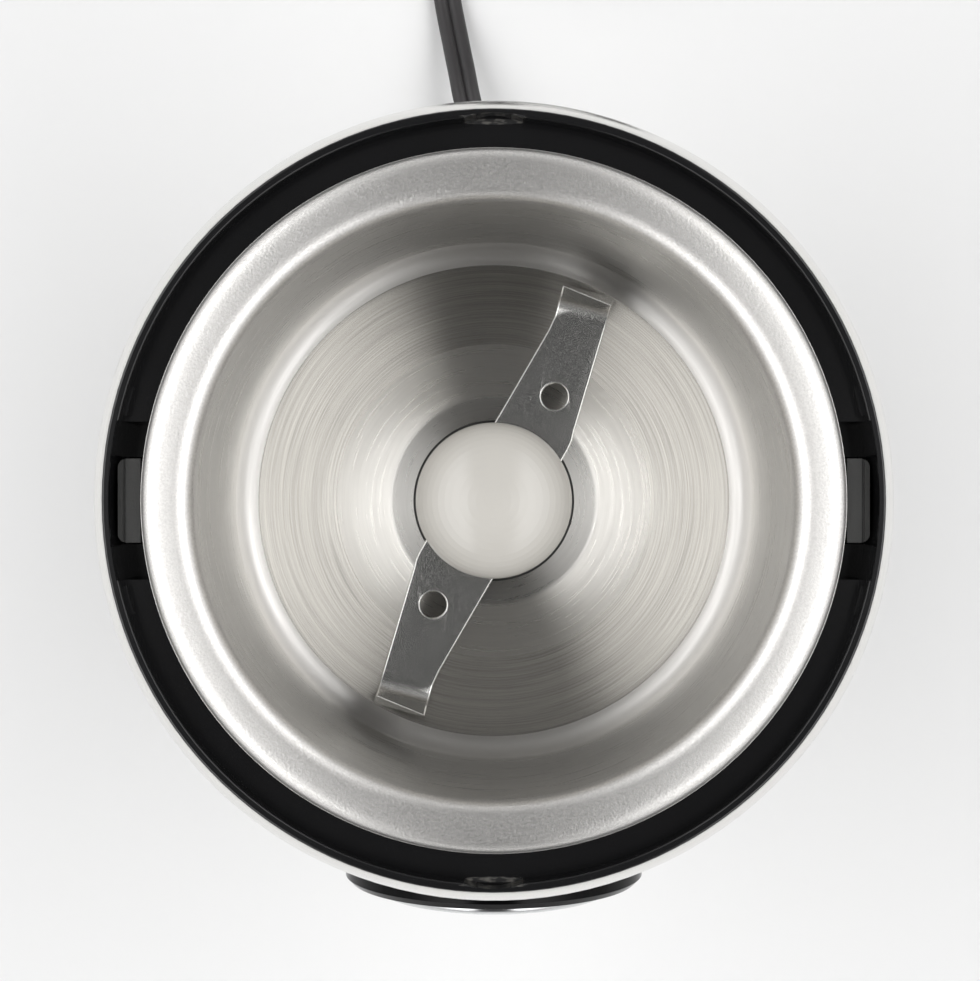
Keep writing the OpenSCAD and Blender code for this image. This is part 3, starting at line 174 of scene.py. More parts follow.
outline_data = bpy.data.curves.new("flex_outline", "CURVE")
outline_data.dimensions = "2D"
spline = outline_data.splines.new("POLY")
spline.points.add(len(outline) - 1)
for point, (x, y) in zip(spline.points, outline):
    point.co = (x * MM, y * MM, 0, 1)
spline.use_cyclic_u = True
outline_object = bpy.data.objects.new("flex_outline", outline_data)
scene.collection.objects.link(outline_object)

lead_data = bpy.data.curves.new("flex_route", "CURVE")
lead_data.dimensions = "3D"
lead_data.twist_mode = "Z_UP"
lead_data.resolution_u = CURVE_STEPS
spline = lead_data.splines.new("BEZIER")
spline.bezier_points.add(len(route) - 1)
for point, (x, y, z, turn) in zip(spline.bezier_points, route):
    point.co = (x * MM, y * MM, z * MM)
    point.handle_left_type = point.handle_right_type = "AUTO"
    point.tilt = math.radians(turn)
lead_object = bpy.data.objects.new("flex_route", lead_data)
scene.collection.objects.link(lead_object)
bpy.context.view_layer.update()

line = bpy.data.meshes.new_from_object(lead_object.evaluated_get(bpy.context.evaluated_depsgraph_get()))
lead_data.bevel_mode = "OBJECT"
lead_data.bevel_object = outline_object
lead_data.use_fill_caps = True
bpy.context.view_layer.update()
flex = bpy.data.meshes.new_from_object(lead_object.evaluated_get(bpy.context.evaluated_depsgraph_get()))
cord_mesh = bmesh.new()
cord_mesh.from_mesh(flex)
bmesh.ops.remove_doubles(cord_mesh, verts=cord_mesh.verts, dist=MERGE_MM * MM)
bmesh.ops.recalc_face_normals(cord_mesh, faces=cord_mesh.faces)
for scratch in (lead_object, outline_object):
    bpy.data.objects.remove(scratch)
cord = finish_piece("mains_cord", cord_mesh, "housing", ("cord", "cord_coil"), smooth=50)

# %% [markdown]
# ## Floor and light
# The grinder stands on a white paper sweep. A flat plane would end at a hard horizon, so the sweep is
# a disc whose edge curves up all round: it looks plain from every side, and it is what the steel shell
# mirrors.
# The light is two broad soft banks, left and right, with little light from the front, the back and
# straight above. Area lamps could do that, but banks that are painted into the world have no edge that
# could get into a picture. Their gap shows at once in the turned floor of the bowl, as two dark sectors.
# Each bank has a slightly hotter spot near the top, where its lamp sits, and the domed cap shows the
# two as soft upright bands.

# %% White sweep
FLOOR_R = 1400
CURVE_R = 500
WALL_TOP = 900
SWEEP_STEPS = 96
CURVE_POINTS = 12
curve = arc((FLOOR_R, CURVE_R), CURVE_R, CURVE_R, -90, 0, CURVE_POINTS)
sweep_mesh = spin_outline([(0, 0), (FLOOR_R, 0)] + curve + [(FLOOR_R + CURVE_R, WALL_TOP)], SWEEP_STEPS)
sweep_data = bpy.data.meshes.new("paper_sweep")
sweep_mesh.to_mesh(sweep_data)
sweep_mesh.free()
sweep_data.shade_smooth()
sweep = bpy.data.objects.new("paper_sweep", sweep_data)
scene.collection.objects.link(sweep)


# %% [markdown]
# ## Colours and nodes
# Colours are written as sRGB hex, as a paint chart gives them, and one function turns them to the
# linear values that Blender works in. One small function adds a node with its settings and links,
# which keeps each material readable as a list.

# %% Helpers for materials
def hex_colour(text):
    """Linear RGBA of an sRGB hex colour."""
    parts = [int(text[i:i + 2], 16) / 255 for i in (0, 2, 4)]
    return [p / 12.92 if p <= 0.04045 else ((p + 0.055) / 1.055) ** 2.4 for p in parts] + [1]


def add(tree, kind, inputs=None, **settings):
    """Adds one node. An input is a plain value or another node's output."""
    node = tree.nodes.new("ShaderNode" + kind)
    for name, value in settings.items():
        setattr(node, name, value)
    for socket, value in (inputs or {}).items():
        if isinstance(value, bpy.types.NodeSocket):
            tree.links.new(value, node.inputs[socket])
        else:
            node.inputs[socket].default_value = value
    return node


def new_material(name):
    """An empty material with its output, ready for its own nodes."""
    material = bpy.data.materials.new(name)
    material.use_nodes = True
    material.node_tree.nodes.clear()
    return material, material.node_tree


# %% Paper and world
paper, tree = new_material("white_paper")
shader = add(tree, "BsdfDiffuse", {"Color": hex_colour("E5E5E5"), "Roughness": 0})
add(tree, "OutputMaterial", {"Surface": shader.outputs[0]})
sweep_data.materials.append(paper)

# A direction's sideways share where a bank starts and where it is full, and how much of the front it takes.
BANK_EDGE = (0.22, 0.44)
BANK_FORWARD = 0.06
# Each light is given low down and high up; RISE is the part of the height over which it changes.
RISE = (0.4, 0.85)
BANK_LIGHT = (0.95, 3.1)
FRONT_LIGHT = (0.12, 0.01)
BACK_LIGHT = (0.7, 0.16)
# Degrees between a lamp and straight up, and from its outer to its inner edge.
LAMP_LEAN = 18
LAMP_SIZE = (7, 3)
LAMP_LIGHT = 0.5

world = bpy.data.worlds.new("two_soft_banks")
world.use_nodes = True
tree = world.node_tree
tree.nodes.clear()
direction = add(tree, "TexCoord").outputs["Generated"]
axes = add(tree, "SeparateXYZ", {0: direction})


def rising(low, high):
    """A level that changes from low down in the world to high up."""
    return add(tree, "MapRange", {0: axes.outputs[2], 1: RISE[0], 2: RISE[1], 3: low, 4: high},
               interpolation_type="SMOOTHSTEP").outputs[0]


side = add(tree, "Math", {0: axes.outputs[0]}, operation="ABSOLUTE")
side = add(tree, "Math", {0: axes.outputs[1], 1: -BANK_FORWARD, 2: side.outputs[0]},
           operation="MULTIPLY_ADD")
bank = add(tree, "MapRange", {0: side.outputs[0], 1: BANK_EDGE[0], 2: BANK_EDGE[1]},
           interpolation_type="SMOOTHSTEP")
room = add(tree, "MapRange", {0: axes.outputs[1], 1: -1.0, 2: 1.0, 3: rising(*FRONT_LIGHT),
                              4: rising(*BACK_LIGHT)})
strength = add(tree, "MapRange", {0: bank.outputs[0], 3: room.outputs[0], 4: rising(*BANK_LIGHT)})

folded = add(tree, "VectorMath", {0: direction}, operation="ABSOLUTE")
lamp_at = (math.sin(math.radians(LAMP_LEAN)), 0, math.cos(math.radians(LAMP_LEAN)))
lamp = add(tree, "VectorMath", {0: folded.outputs[0], 1: lamp_at}, operation="DOT_PRODUCT")
outer, inner = [math.cos(math.radians(size)) for size in LAMP_SIZE]
lamp = add(tree, "MapRange", {0: lamp.outputs["Value"], 1: outer, 2: inner, 3: 0.0, 4: LAMP_LIGHT})
strength = add(tree, "Math", {0: strength.outputs[0], 1: lamp.outputs[0]}, operation="ADD")
sky = add(tree, "Background", {"Color": hex_colour("FFFFFF"), "Strength": strength.outputs[0]})
add(tree, "OutputWorld", {"Surface": sky.outputs[0]})
scene.world = world
print("banks", BANK_LIGHT, "front", FRONT_LIGHT, "back", BACK_LIGHT)

# %% [markdown]
# ## Finishes
# Every finish below is a process: moulding leaves a fine spark-eroded grain, turning leaves rings,
# rolling leaves streaks in one direction, plating leaves a soft mirror with a faint orange peel.
# A function for each process, with the real colour and the grain in millimetres, serves all parts
# that are made that way. Real mould grain and rolling streaks are about 0.05 mm wide, too fine to show,
# so the grains here are drawn four to eight times as coarse, and the turned rings twice as coarse.

# %% Moulded plastic
# Nearly all values of a noise lie in this span, so it is what each pattern's range starts from.
NOISE_SPAN = {1: 0.3, 2: 0.7}
CLOUD = 9


def moulded_plastic(name, colour, roughness, grain=0.3, depth=0.01, mottle=0.06, ior=1.5):
    """Moulded plastic: a fine even grain from the mould, slightly blotchy gloss."""
    material, tree = new_material(name)
    place = add(tree, "TexCoord").outputs["Object"]
    grit = add(tree, "TexNoise", {"Vector": place, "Scale": 1 / (grain * MM), "Detail": 3.0,
                                  "Roughness": 0.6})
    cloud = add(tree, "TexNoise", {"Vector": place, "Scale": 1 / (CLOUD * MM), "Detail": 3.0})
    tone = add(tree, "MapRange", {0: cloud.outputs["Fac"], **NOISE_SPAN, 3: 1 - mottle, 4: 1 + mottle})
    paint = add(tree, "VectorMath", {0: hex_colour(colour)[:3], "Scale": tone.outputs[0]},
                operation="SCALE")
    gloss = add(tree, "MapRange", {0: cloud.outputs["Fac"], **NOISE_SPAN, 3: roughness * 0.9,
                                   4: roughness * 1.1})
    bump = add(tree, "Bump", {"Height": grit.outputs["Fac"], "Distance": depth * MM, "Strength": 1.0})
    shader = add(tree, "BsdfPrincipled", {"Base Color": paint.outputs[0], "Roughness": gloss.outputs[0],
                                          "Normal": bump.outputs[0], "IOR": ior})
    add(tree, "OutputMaterial", {"Surface": shader.outputs[0]})
    return material


# %% [markdown]
# Metal shows how it was worked. Turned and spun steel has fine rings round its axis, and light
# fans out across them. The rings are noise that changes fast with the radius and slowly round
# the axis. The shader's anisotropy gives the fan: its tangent runs round the axis, and a quarter turn
# of it stretches each highlight across the rings, as real grooves do.

# %% Turned metal
QUARTER_TURN = 0.25
SLOW_ROUND = 1.3


def turned_metal(name, colour, roughness, anisotropy, ring=0.25, depth=0.004, contrast=0.12):
    """Metal worked round an axis, with fine rings and a fan of light."""
    material, tree = new_material(name)
    place = add(tree, "TexCoord").outputs["Object"]
    axes = add(tree, "SeparateXYZ", {0: place})
    flat = add(tree, "CombineXYZ", {0: axes.outputs[0], 1: axes.outputs[1], 2: 0.0})
    radius = add(tree, "VectorMath", {0: flat.outputs[0]}, operation="LENGTH")
    round_axis = add(tree, "VectorMath", {0: flat.outputs[0]}, operation="NORMALIZE")
    slow = add(tree, "VectorMath", {0: round_axis.outputs[0], "Scale": SLOW_ROUND}, operation="SCALE")
    depth_along = add(tree, "Math", {0: radius.outputs["Value"], 1: axes.outputs[2]}, operation="SUBTRACT")
    fast = add(tree, "Math", {0: depth_along.outputs[0], 1: 1 / (ring * MM)}, operation="MULTIPLY")
    slow = add(tree, "SeparateXYZ", {0: slow.outputs[0]})
    lines = add(tree, "CombineXYZ", {0: slow.outputs[0], 1: slow.outputs[1], 2: fast.outputs[0]})
    rings = add(tree, "TexNoise", {"Vector": lines.outputs[0], "Scale": 1.0, "Detail": 3.0,
                                   "Roughness": 0.7})
    tone = add(tree, "MapRange", {0: rings.outputs["Fac"], **NOISE_SPAN, 3: 1 - contrast, 4: 1.0})
    paint = add(tree, "VectorMath", {0: hex_colour(colour)[:3], "Scale": tone.outputs[0]},
                operation="SCALE")
    gloss = add(tree, "MapRange", {0: rings.outputs["Fac"], **NOISE_SPAN, 3: roughness * 1.15,
                                   4: roughness * 0.85})
    bump = add(tree, "Bump", {"Height": rings.outputs["Fac"], "Distance": depth * MM, "Strength": 1.0})
    tangent = add(tree, "Tangent", direction_type="RADIAL", axis="Z")
    shader = add(tree, "BsdfPrincipled", {
        "Base Color": paint.outputs[0], "Metallic": 1.0, "Roughness": gloss.outputs[0],
        "Anisotropic": anisotropy, "Anisotropic Rotation": QUARTER_TURN, "Normal": bump.outputs[0],
        "Tangent": tangent.outputs[0]})
    add(tree, "OutputMaterial", {"Surface": shader.outputs[0]})
    return material


# %% Plain metal: plated, blasted or rolled
def plain_metal(name, colour, roughness, grain=0.2, depth=0.004, stretch=(1, 1, 1), contrast=0.12,
                anisotropy=0.0):
    """Metal with an even grain, streaks where an axis is stretched, a fan where it was polished round."""
    material, tree = new_material(name)
    place = add(tree, "TexCoord").outputs["Object"]
    scaled = add(tree, "Mapping", {"Vector": place, "Scale": stretch})
    grit = add(tree, "TexNoise", {"Vector": scaled.outputs[0], "Scale": 1 / (grain * MM), "Detail": 4.0,
                                  "Roughness": 0.65})
    tone = add(tree, "MapRange", {0: grit.outputs["Fac"], **NOISE_SPAN, 3: 1 - contrast, 4: 1.0})
    paint = add(tree, "VectorMath", {0: hex_colour(colour)[:3], "Scale": tone.outputs[0]},
                operation="SCALE")
    gloss = add(tree, "MapRange", {0: grit.outputs["Fac"], **NOISE_SPAN, 3: roughness * 1.2,
                                   4: roughness * 0.8})
    bump = add(tree, "Bump", {"Height": grit.outputs["Fac"], "Distance": depth * MM, "Strength": 1.0})
    tangent = add(tree, "Tangent", direction_type="RADIAL", axis="Z")
    shader = add(tree, "BsdfPrincipled", {
        "Base Color": paint.outputs[0], "Metallic": 1.0, "Roughness": gloss.outputs[0],
        "Anisotropic": anisotropy, "Anisotropic Rotation": QUARTER_TURN, "Normal": bump.outputs[0],
        "Tangent": tangent.outputs[0]})
    add(tree, "OutputMaterial", {"Surface": shader.outputs[0]})
    return material


# %% [markdown]
# The collar is polished black plastic, except in the two shallow scoops of its rim, front and back: there
# the mould was left rough, and their lighter grey is a painted highlight. A mask finds them by place: it is
# one inside an ellipse over each scoop. The painted grey is speckled by noise drawn out along the rim.

# %% Collar with two rough scoops and a painted highlight in them
SCOOP_AT = 46.95
SCOOP_HALF = (4.4, 0.42)
SCOOP_EDGE = {1: 0.7, 2: 1.0}
SCOOP_SPECKLE = 0.35
SCOOP_STRETCH = (0.35, 1, 1)
SCOOP_SPOTS = {1: 0.46, 2: 0.66}
POLISHED = 0.12
ROUGH = 0.5


def rough_scoops_painted_highlight(material):
    """Makes the plastic rougher inside the two scoops, and paints them lighter as a painted highlight."""
    tree = material.node_tree
    shader = next(n for n in tree.nodes if n.type == "BSDF_PRINCIPLED")
    place = add(tree, "TexCoord").outputs["Object"]
    folded = add(tree, "VectorMath", {0: place}, operation="ABSOLUTE")
    shifted = add(tree, "VectorMath", {0: folded.outputs[0], 1: (0, SCOOP_AT * MM, 0)}, operation="SUBTRACT")
    fitted = add(tree, "VectorMath", {0: shifted.outputs[0],
                                      1: (1 / (SCOOP_HALF[0] * MM), 1 / (SCOOP_HALF[1] * MM), 0)},
                 operation="MULTIPLY")
    far = add(tree, "VectorMath", {0: fitted.outputs[0]}, operation="LENGTH")
    inside = add(tree, "MapRange", {0: far.outputs["Value"], **SCOOP_EDGE, 3: 1.0, 4: 0.0})
    drawn = add(tree, "Mapping", {"Vector": place, "Scale": SCOOP_STRETCH})
    grit = add(tree, "TexNoise", {"Vector": drawn.outputs[0], "Scale": 1 / (SCOOP_SPECKLE * MM),
                                  "Detail": 3.0})
    spots = add(tree, "MapRange", {0: grit.outputs["Fac"], **SCOOP_SPOTS})
    scoop_painted_highlight = add(tree, "Math", {0: inside.outputs[0], 1: spots.outputs[0]}, operation="MULTIPLY")
    # The scoops' lighter grey, speckled by the noise, is a painted highlight.
    paint = add(tree, "Mix", {0: scoop_painted_highlight.outputs[0], 7: hex_colour("6A6863")}, data_type="RGBA")
    tree.links.new(shader.inputs["Base Color"].links[0].from_socket, paint.inputs[6])
    tree.links.new(paint.outputs[2], shader.inputs["Base Color"])
    gloss = add(tree, "MapRange", {0: inside.outputs[0], 3: POLISHED, 4: ROUGH})
    tree.links.new(gloss.outputs[0], shader.inputs["Roughness"])
    return material


# %% [markdown]
# Each slot of the CAD record gets its finish. To the eye the drawn shell is a satin mirror with soft upright
# bands, the turned bowl has rings and a fan, its tumbled flange glitters a little, and the polished ABS of
# collar and bezel is black with sharp reflections. The bezel's IOR is below that of ABS, because its narrow
# edge looks nearly black. Rubber, PVC and grained ABS stay dull, the acetal cap is creamy with a soft shine,
# and the chromed button mirrors all around it. Inside, copper, brass, bronze and carbon keep the
# colours that make them known.

# %% Finishes by the record's slots
finishes = {
    "rubber_ring": moulded_plastic("moulded_rubber_black", "2A2A2A", 0.75, 0.4, 0.02),
    "base_abs": moulded_plastic("moulded_abs_base", "161617", 0.45, 0.35, 0.015),
    "screw_steel": plain_metal("zinc_plated_steel", "B9BCC0", 0.3),
    "shell_steel": turned_metal("drawn_shell_steel", "E9E8E5", 0.2, 0.6, 0.3, 0.001, contrast=0.05),
    "liner_abs": moulded_plastic("moulded_abs_liner", "4A4A4B", 0.5, 0.35, 0.015),
    "collar_abs": rough_scoops_painted_highlight(moulded_plastic("moulded_abs_collar", "171718", POLISHED, 0.25, 0.001)),
    "bowl_steel": turned_metal("turned_bowl_steel", "DCDAD6", 0.2, 0.95, 0.2, 0.004, contrast=0.35),
    "silicone": moulded_plastic("moulded_silicone", "8C8C8A", 0.6),
    "seal_rubber": moulded_plastic("moulded_nitrile_rubber", "262626", 0.6),
    "lamination_steel": plain_metal("laminated_silicon_steel", "6E7278", 0.45, 0.35, 0.02, (0.1, 0.1, 1.4)),
    "enamelled_copper": plain_metal("enamelled_copper_wire", "B4622C", 0.28, 0.45, 0.05, (0.1, 0.1, 1.0)),
    "bracket_steel": plain_metal("galvanised_steel", "A9ADB2", 0.38, 1.2),
    "sintered_bronze": plain_metal("sintered_bronze", "B08A55", 0.5, 0.25, 0.02),
    "brass_holder": plain_metal("rolled_brass", "C9A55A", 0.3, 0.3, 0.004, (0.1, 1, 1)),
    "carbon": moulded_plastic("pressed_carbon", "1B1B1C", 0.55, 0.2, 0.02),
    "spring_steel": plain_metal("drawn_spring_steel", "9A9B9D", 0.28),
    "switch_plastic": moulded_plastic("moulded_switch_nylon", "222225", 0.45),
    "interlock_plastic": moulded_plastic("moulded_blue_nylon", "1E2E4A", 0.45),
    "capacitor_film": moulded_plastic("dipped_film_capacitor", "C08A22", 0.35),
    "fuse_body": plain_metal("tinned_fuse_case", "C4C4C2", 0.35),
    "lead_pvc": moulded_plastic("extruded_pvc_lead", "2E2E2E", 0.45),
    "clamp_plastic": moulded_plastic("moulded_clamp_nylon", "1C1C1C", 0.5),
    "bezel_abs": moulded_plastic("moulded_abs_bezel", "070708", 0.15, 0.25, 0.002, ior=1.2),
    "cord_pvc": moulded_plastic("extruded_pvc_flex", "2A2829", 0.5, 0.3, 0.008),
    "tie_pvc": moulded_plastic("coated_wire_tie", "1A1A1A", 0.4),
    "plug_pvc": moulded_plastic("moulded_pvc_plug", "1D1D1E", 0.5, 0.35, 0.015),
    "pin_brass": plain_metal("nickel_plated_brass", "D8C08A", 0.22),
    "shaft_steel": plain_metal("ground_shaft_steel", "C6C7C8", 0.2),
    "commutator_copper": plain_metal("turned_commutator_copper", "C07A50", 0.3),
    "washer_fibre": moulded_plastic("pressed_fibre", "6F6A60", 0.7),
    "fan_nylon": moulded_plastic("moulded_white_nylon", "DCDAD2", 0.45),
    "hub_zinc": plain_metal("die_cast_zinc", "8E8F90", 0.45, 0.4, 0.01),
    "blade_steel": plain_metal("rolled_blade_steel", "BBBAB7", 0.2, 0.22, 0.028, contrast=0.4),
    "cap_acetal": moulded_plastic("moulded_acetal_cream", "C5C2BC", 0.2, 0.25, 0.001, 0.02),
    "button_chrome": plain_metal("satin_chrome", "DADBDC", 0.16, 0.3, 0.001),
    "carrier_abs": moulded_plastic("moulded_abs_carrier", "242425", 0.5),
    "plunger_plastic": moulded_plastic("moulded_red_nylon", "8A1F1A", 0.45),
    "tab_plastic": moulded_plastic("textured_tab_nylon", "3C3C3B", 0.65, 0.45, 0.08, 0.2),
}
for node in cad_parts.values():
    slot = node.data.materials[0].name
    node.data.materials[0] = finishes[slot]
cord.data.materials.append(finishes["cord_pvc"])
print("finishes", len(finishes))

# %% [markdown]
# ## Bowl
# The bowl is pressed from one steel sheet: a lip, a rolled bead, a straight wall, a rounded corner and
# a coned floor with a small flat round the shaft. Its section is one line, so it is spun once and then
# given the thickness of the sheet. The CAD solid has the same section in coarser steps.

# %% Spin the bowl
BOWL_R = 36.8
LIP_R = 43.5
LIP_TOP = 123.4
BEAD_LIP = 0.25
BEAD_RISE = 3
BEAD_POWER = 0.65
FOOT_R = 36.3
FILLET = 2.8
FLOOR_Z = 89.7
CONE_SLOPE = 15
PLATEAU_R = 15
PLATEAU_STEP = 1
PLATEAU_LIP = 0.25
PLATEAU_ROUND = 0.05
HUB_HOLE = 5.6
SHEET = 0.8
CONE_RADII = (30, 26, 22, 18)
BEAD_STEPS = 36
WALL_STEPS = 8
CORNER_STEPS = 14
BOWL_STEPS = 256
FLANGE_FROM_Z = 122.5


def soft(x, power):
    """Signed power, which squares off a circle's cosine and sine."""
    return math.copysign(abs(x) ** power, x)


bead_mid = (LIP_R - BEAD_LIP + BOWL_R) / 2
bead_half = (LIP_R - BEAD_LIP - BOWL_R) / 2
bead = [(bead_mid + bead_half * soft(math.cos(a), BEAD_POWER),
         LIP_TOP + BEAD_RISE * soft(math.sin(a), BEAD_POWER))
        for a in [math.pi * i / BEAD_STEPS for i in range(BEAD_STEPS + 1)]]
wall = [(BOWL_R + (FOOT_R - BOWL_R) * i / WALL_STEPS,
         LIP_TOP + (FLOOR_Z + FILLET - LIP_TOP) * i / WALL_STEPS) for i in range(1, WALL_STEPS)]
corner = arc((FOOT_R - FILLET, FLOOR_Z + FILLET), FILLET, FILLET, 0, -90 - CONE_SLOPE, CORNER_STEPS)
slope = math.tan(math.radians(CONE_SLOPE))


def cone_z(r):
    """Height of the coned floor at a radius."""
    return corner[-1][1] + (corner[-1][0] - r) * slope


cone = [(r, cone_z(r)) for r in CONE_RADII]
plateau_z = cone_z(PLATEAU_R) + PLATEAU_LIP
section = ([(LIP_R, LIP_TOP)] + bead + wall + corner + cone
           + [(PLATEAU_R, cone_z(PLATEAU_R)), (PLATEAU_R - PLATEAU_STEP / 2, plateau_z - PLATEAU_ROUND),
              (PLATEAU_R - PLATEAU_STEP, plateau_z), (HUB_HOLE, plateau_z)])
bowl_mesh = spin_outline(section, BOWL_STEPS)
floor_up = sum(f.normal.z * f.calc_area() for f in bowl_mesh.faces)
if floor_up < 0:
    bmesh.ops.reverse_faces(bowl_mesh, faces=bowl_mesh.faces)

# Floor 0, wall 1, flange 2, corner 3 and centre 4 were each worked in another way.
for face in bowl_mesh.faces:
    at = face.calc_center_median() / MM
    r = at.xy.length
    face.material_index = (2 if at.z > FLANGE_FROM_Z else 1 if at.z > FLOOR_Z + FILLET
                           else 3 if r > FOOT_R - FILLET else 4 if r < PLATEAU_R else 0)
bmesh.ops.solidify(bowl_mesh, geom=bowl_mesh.faces, thickness=SHEET * MM)
bowl = finish_piece("pressed_bowl", bowl_mesh, "housing", ("bowl",), smooth=40)
for finish in (finishes["bowl_steel"],
               turned_metal("drawn_bowl_wall_steel", "DDDBD7", 0.3, 0.95, 0.4, 0.003, contrast=0.08),
               plain_metal("satin_flange_steel", "F0EEEB", 0.36, 0.3, 0.03, contrast=0.25, anisotropy=0.62),
               turned_metal("drawn_bowl_corner_steel", "E4E2DF", 0.4, 0.9, 0.5, 0.002, contrast=0.06),
               turned_metal("turned_bowl_centre_steel", "DDDAD4", 0.42, 0.96, 0.25, 0.004, contrast=0.3)):
    bowl.data.materials.append(finish)

# %% [markdown]
# ## Blade
# The blade is stamped from one steel strip: two swept wings, a round hole in each, and tips that are
# turned up and ground to an edge. The steps follow the press: the flat pattern is filled and extruded
# to the sheet's thickness, cut across where it bends, ground on the back of each tip, and every point past
# the bend line is wrapped round the bend. A bevel gives the sheared edges, and their brighter colour is a
# painted highlight; the same roll-over opens the top of each hole to its full 4 mm, so the pattern's circle
# is a little smaller.
# The underside is duller and painted dark, a painted shade, so that little light shows through the holes.

# %% Flat pattern of the blade
BLADE_Z = 100.61
BLADE_T = 1.4
BLADE_HALF = 5.25
BLADE_TURN = 59.8
HOLE_AT = 16.3
HOLE_R = 1.78
BEND_IN = Vector((25.7, 5.45, 0))
BEND_OUT = Vector((27.5, -1.35, 0))
BEND_R = 3
BEND_ANGLE = math.radians(62)
BEND_STEPS = 14
TIP_LEN = 2.4
TIP_SLANT = math.radians(12)
TIP_GRIND = 1.6
TIP_EDGE = 0.25
SHAFT_HOLE = 3.03
ROLL_OVER = 0.24
TIP_ROLL = 0.1
HOLE_STEPS = 40
# Radians between two faces from which their edge is sharp, and the height of a normal that looks down.
SHARP_TURN = 1
FACES_DOWN = -0.7

across = (BEND_OUT - BEND_IN).normalized()
outward = Vector((-across.y, across.x, 0))
bend_len = BEND_R * BEND_ANGLE
tip_far = bend_len + TIP_LEN
tip_short = (BEND_OUT - BEND_IN).length * math.tan(TIP_SLANT)
wing = [Vector((11, -BLADE_HALF, 0)), Vector((12.3, 0.13 - BLADE_HALF, 0)),
        Vector((13.5, 0.5 - BLADE_HALF, 0)), BEND_OUT, BEND_OUT + outward * (tip_far - tip_short),
        BEND_IN + outward * tip_far, BEND_IN, Vector((23.6, BLADE_HALF, 0))]
half_turn = Matrix.Rotation(math.pi, 4, "Z")
outline = wing + [half_turn @ p for p in wing]
print("blade outline", len(outline), "points, bend takes", round(bend_len, 2), "mm")

# %% Stamp the strip
blade_mesh = bmesh.new()
corners = [blade_mesh.verts.new(p) for p in outline]
edges = [blade_mesh.edges.new(pair) for pair in zip(corners, corners[1:] + corners[:1])]
for at, radius in ((HOLE_AT, HOLE_R), (-HOLE_AT, HOLE_R), (0, SHAFT_HOLE)):
    ring = bmesh.ops.create_circle(blade_mesh, segments=HOLE_STEPS, radius=radius,
                                   matrix=Matrix.Translation((at, 0, 0)))["verts"]
    edges += dict.fromkeys(e for v in ring for e in v.link_edges)
bmesh.ops.triangle_fill(blade_mesh, use_beauty=True, edges=edges)
top = bmesh.ops.extrude_face_region(blade_mesh, geom=blade_mesh.faces)["geom"]
bmesh.ops.translate(blade_mesh, vec=(0, 0, BLADE_T),
                    verts=[v for v in top if isinstance(v, bmesh.types.BMVert)])
bmesh.ops.recalc_face_normals(blade_mesh, faces=blade_mesh.faces)
end_line = (wing[5] - wing[4]).normalized()
end_across = Vector((-end_line.y, end_line.x, 0))


def at_tip(v):
    """True for a point on the end line of either tip."""
    return any((p - wing[4]).length < 2 * BLADE_HALF and abs((p - wing[4]).dot(end_across)) < 0.01
               for p in [Vector((*(sign * v.co.xy), 0)) for sign in (1, -1)])


def top_edges(mesh, at_tips):
    """The sharp top edges, either those of the tips' ends or all the others."""
    return [e for e in mesh.edges if e.calc_face_angle(0) > SHARP_TURN
            and min(v.co.z for v in e.verts) > BLADE_T / 2
            and all(at_tip(v) for v in e.verts) == at_tips]


# The rolled-over faces get material 1, whose brighter colour is a painted highlight.
for at_tips, roll in ((False, ROLL_OVER), (True, TIP_ROLL)):
    rolled = bmesh.ops.bevel(blade_mesh, geom=top_edges(blade_mesh, at_tips), offset=roll,
                             offset_type="OFFSET", affect="EDGES", segments=3, profile=0.5, material=-1)
    for face in rolled["faces"]:
        face.material_index = 1
cuts = [bend_len * i / BEND_STEPS for i in range(BEND_STEPS + 1)] + [tip_far - TIP_GRIND]
for away, start in ((outward, BEND_IN), (half_turn @ outward, half_turn @ BEND_IN)):
    for cut in cuts:
        bmesh.ops.bisect_plane(blade_mesh, plane_co=start + away * cut, plane_no=away,
                               geom=blade_mesh.verts[:] + blade_mesh.edges[:] + blade_mesh.faces[:])
print("stamped strip", len(blade_mesh.faces), "faces")


# %% Grind and bend the tips
def shape_tip(v, away, start):
    """Grinds the back of a tip to an edge, then wraps the tip round the bend."""
    out = (v.co - start).dot(away)
    if out <= 0:
        return
    if out > tip_far - TIP_GRIND:
        v.co.z += (BLADE_T - v.co.z) * (1 - TIP_EDGE / BLADE_T) * (out - tip_far + TIP_GRIND) / TIP_GRIND
    turn = min(out / BEND_R, BEND_ANGLE)
    past = out - turn * BEND_R
    depth = BEND_R + BLADE_T - v.co.z
    v.co += away * (depth * math.sin(turn) + past * math.cos(turn) - out)
    v.co.z = BEND_R + BLADE_T - depth * math.cos(turn) + past * math.sin(turn)


for v in blade_mesh.verts:
    side_turn = half_turn if v.co.x < 0 else Matrix.Identity(4)
    shape_tip(v, side_turn @ outward, side_turn @ BEND_IN)
bmesh.ops.recalc_face_normals(blade_mesh, faces=blade_mesh.faces)
# The bent tips can mislead the normals all at once, and a negative volume tells.
if blade_mesh.calc_volume(signed=True) < 0:
    bmesh.ops.reverse_faces(blade_mesh, faces=blade_mesh.faces)
blade_mesh.normal_update()
# Faces that look down take the underside's dark colour, a painted shade.
for face in blade_mesh.faces:
    if face.normal.z < FACES_DOWN:
        face.material_index = 2
print("blade volume", round(blade_mesh.calc_volume(signed=True)), "mm3, reach",
      round(max(v.co.length for v in blade_mesh.verts), 2), "mm")

# %% Place the blade
place = (Matrix.Scale(MM, 4) @ Matrix.Translation((0, 0, BLADE_Z))
         @ Matrix.Rotation(math.radians(BLADE_TURN), 4, "Z"))
bmesh.ops.transform(blade_mesh, matrix=place, verts=blade_mesh.verts)
blade = finish_piece("swept_blade", blade_mesh, "rotor", ("blade",), smooth=25)
blade.data.materials.append(finishes["blade_steel"])
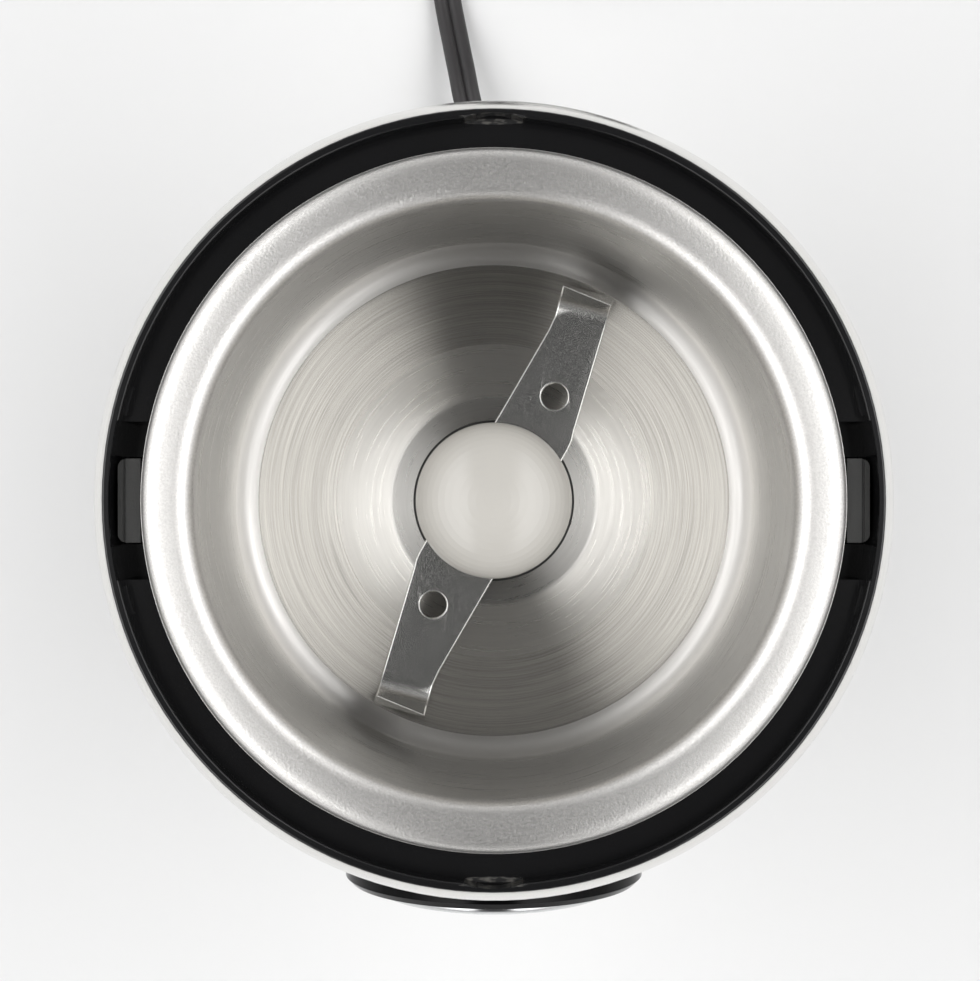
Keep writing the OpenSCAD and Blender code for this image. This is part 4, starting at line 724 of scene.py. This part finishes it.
# The sheared edges' brighter colour is a painted highlight.
blade.data.materials.append(plain_metal("sheared_edge_highlight_steel", "E2E1DE", 0.25, 0.1, 0.002))
# The underside's dark colour is painted shade.
blade.data.materials.append(plain_metal("painted_shade_blade_back_steel", "4E4D4B", 0.45, 0.2, 0.01))
flat_faces = blade.modifiers.new("flat_faces", "WEIGHTED_NORMAL")
flat_faces.keep_sharp = True

# %% [markdown]
# ## Shell and button
# Two CAD solids are right but for a soft curve. The drawn shell's shoulder starts lower and bends more
# slowly than a quarter circle, and the button's face is flatter. They could be modelled anew, but then their
# openings and joints with other parts would have to be made again too. So each gets a merged copy of its
# own mesh, whose points are moved by a rule.

# %% Copies with softer curves
SHOULDER_TOP = 120.5
SHOULDER_FROM = 114
SHOULDER_TALLER = 1.6
BUTTON_AXIS_Z = 89.5
BUTTON_EDGE_Y = -55.3
BUTTON_BACK = 0.2
BUTTON_SMALLER = 0.985
BUTTON_FLATTER = 0.75
COPY_MERGE_MM = 0.001


def eased_copy(name, node, body, rule):
    """A merged copy of a CAD node whose points are moved by a rule, in millimetres."""
    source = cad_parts[node]
    mesh = bmesh.new()
    mesh.from_mesh(source.data)
    bmesh.ops.transform(mesh, matrix=source.matrix_world, verts=mesh.verts)
    bmesh.ops.remove_doubles(mesh, verts=mesh.verts, dist=COPY_MERGE_MM * MM)
    for v in mesh.verts:
        v.co = rule(v.co / MM) * MM
    bmesh.ops.recalc_face_normals(mesh, faces=mesh.faces)
    finish = source.data.materials[0]
    piece = finish_piece(name, mesh, body, (node,))
    piece.data.materials.append(finish)
    return piece


def taller_shoulder(p):
    """Stretches the shoulder down, with its top where it is."""
    if p.z > SHOULDER_FROM - 0.01:
        p.z = SHOULDER_TOP - (SHOULDER_TOP - p.z) * SHOULDER_TALLER
    return p


def flatter_face(p):
    """Makes the button a little smaller and its face flatter."""
    if p.y < BUTTON_EDGE_Y:
        p.y = BUTTON_EDGE_Y + (p.y - BUTTON_EDGE_Y) * BUTTON_FLATTER
    centre = Vector((0, p.y + BUTTON_BACK, BUTTON_AXIS_Z))
    return centre + Vector((p.x, 0, p.z - BUTTON_AXIS_Z)) * BUTTON_SMALLER


eased_copy("drawn_shell", "body_shell", "housing", taller_shoulder)
eased_copy("domed_button", "button_cap", "button", flatter_face)

# %% [markdown]
# ## Springs
# The three springs shorten when what they carry is pressed. Each is a merged copy of its CAD solid, with a
# mesh of its own.

# %% Copies of the springs
SPRINGS = {"button_spring": ("button_press", 1, -40.5, 3.5),
           "interlock_spring_right": ("interlock_right_press", 2, 100, 3),
           "interlock_spring_left": ("interlock_left_press", 2, 100, 3)}

for node, (joint, axis, still_end, travel) in SPRINGS.items():
    spring = eased_copy("sprung_" + node, node, "housing", lambda p: p)
    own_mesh(spring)
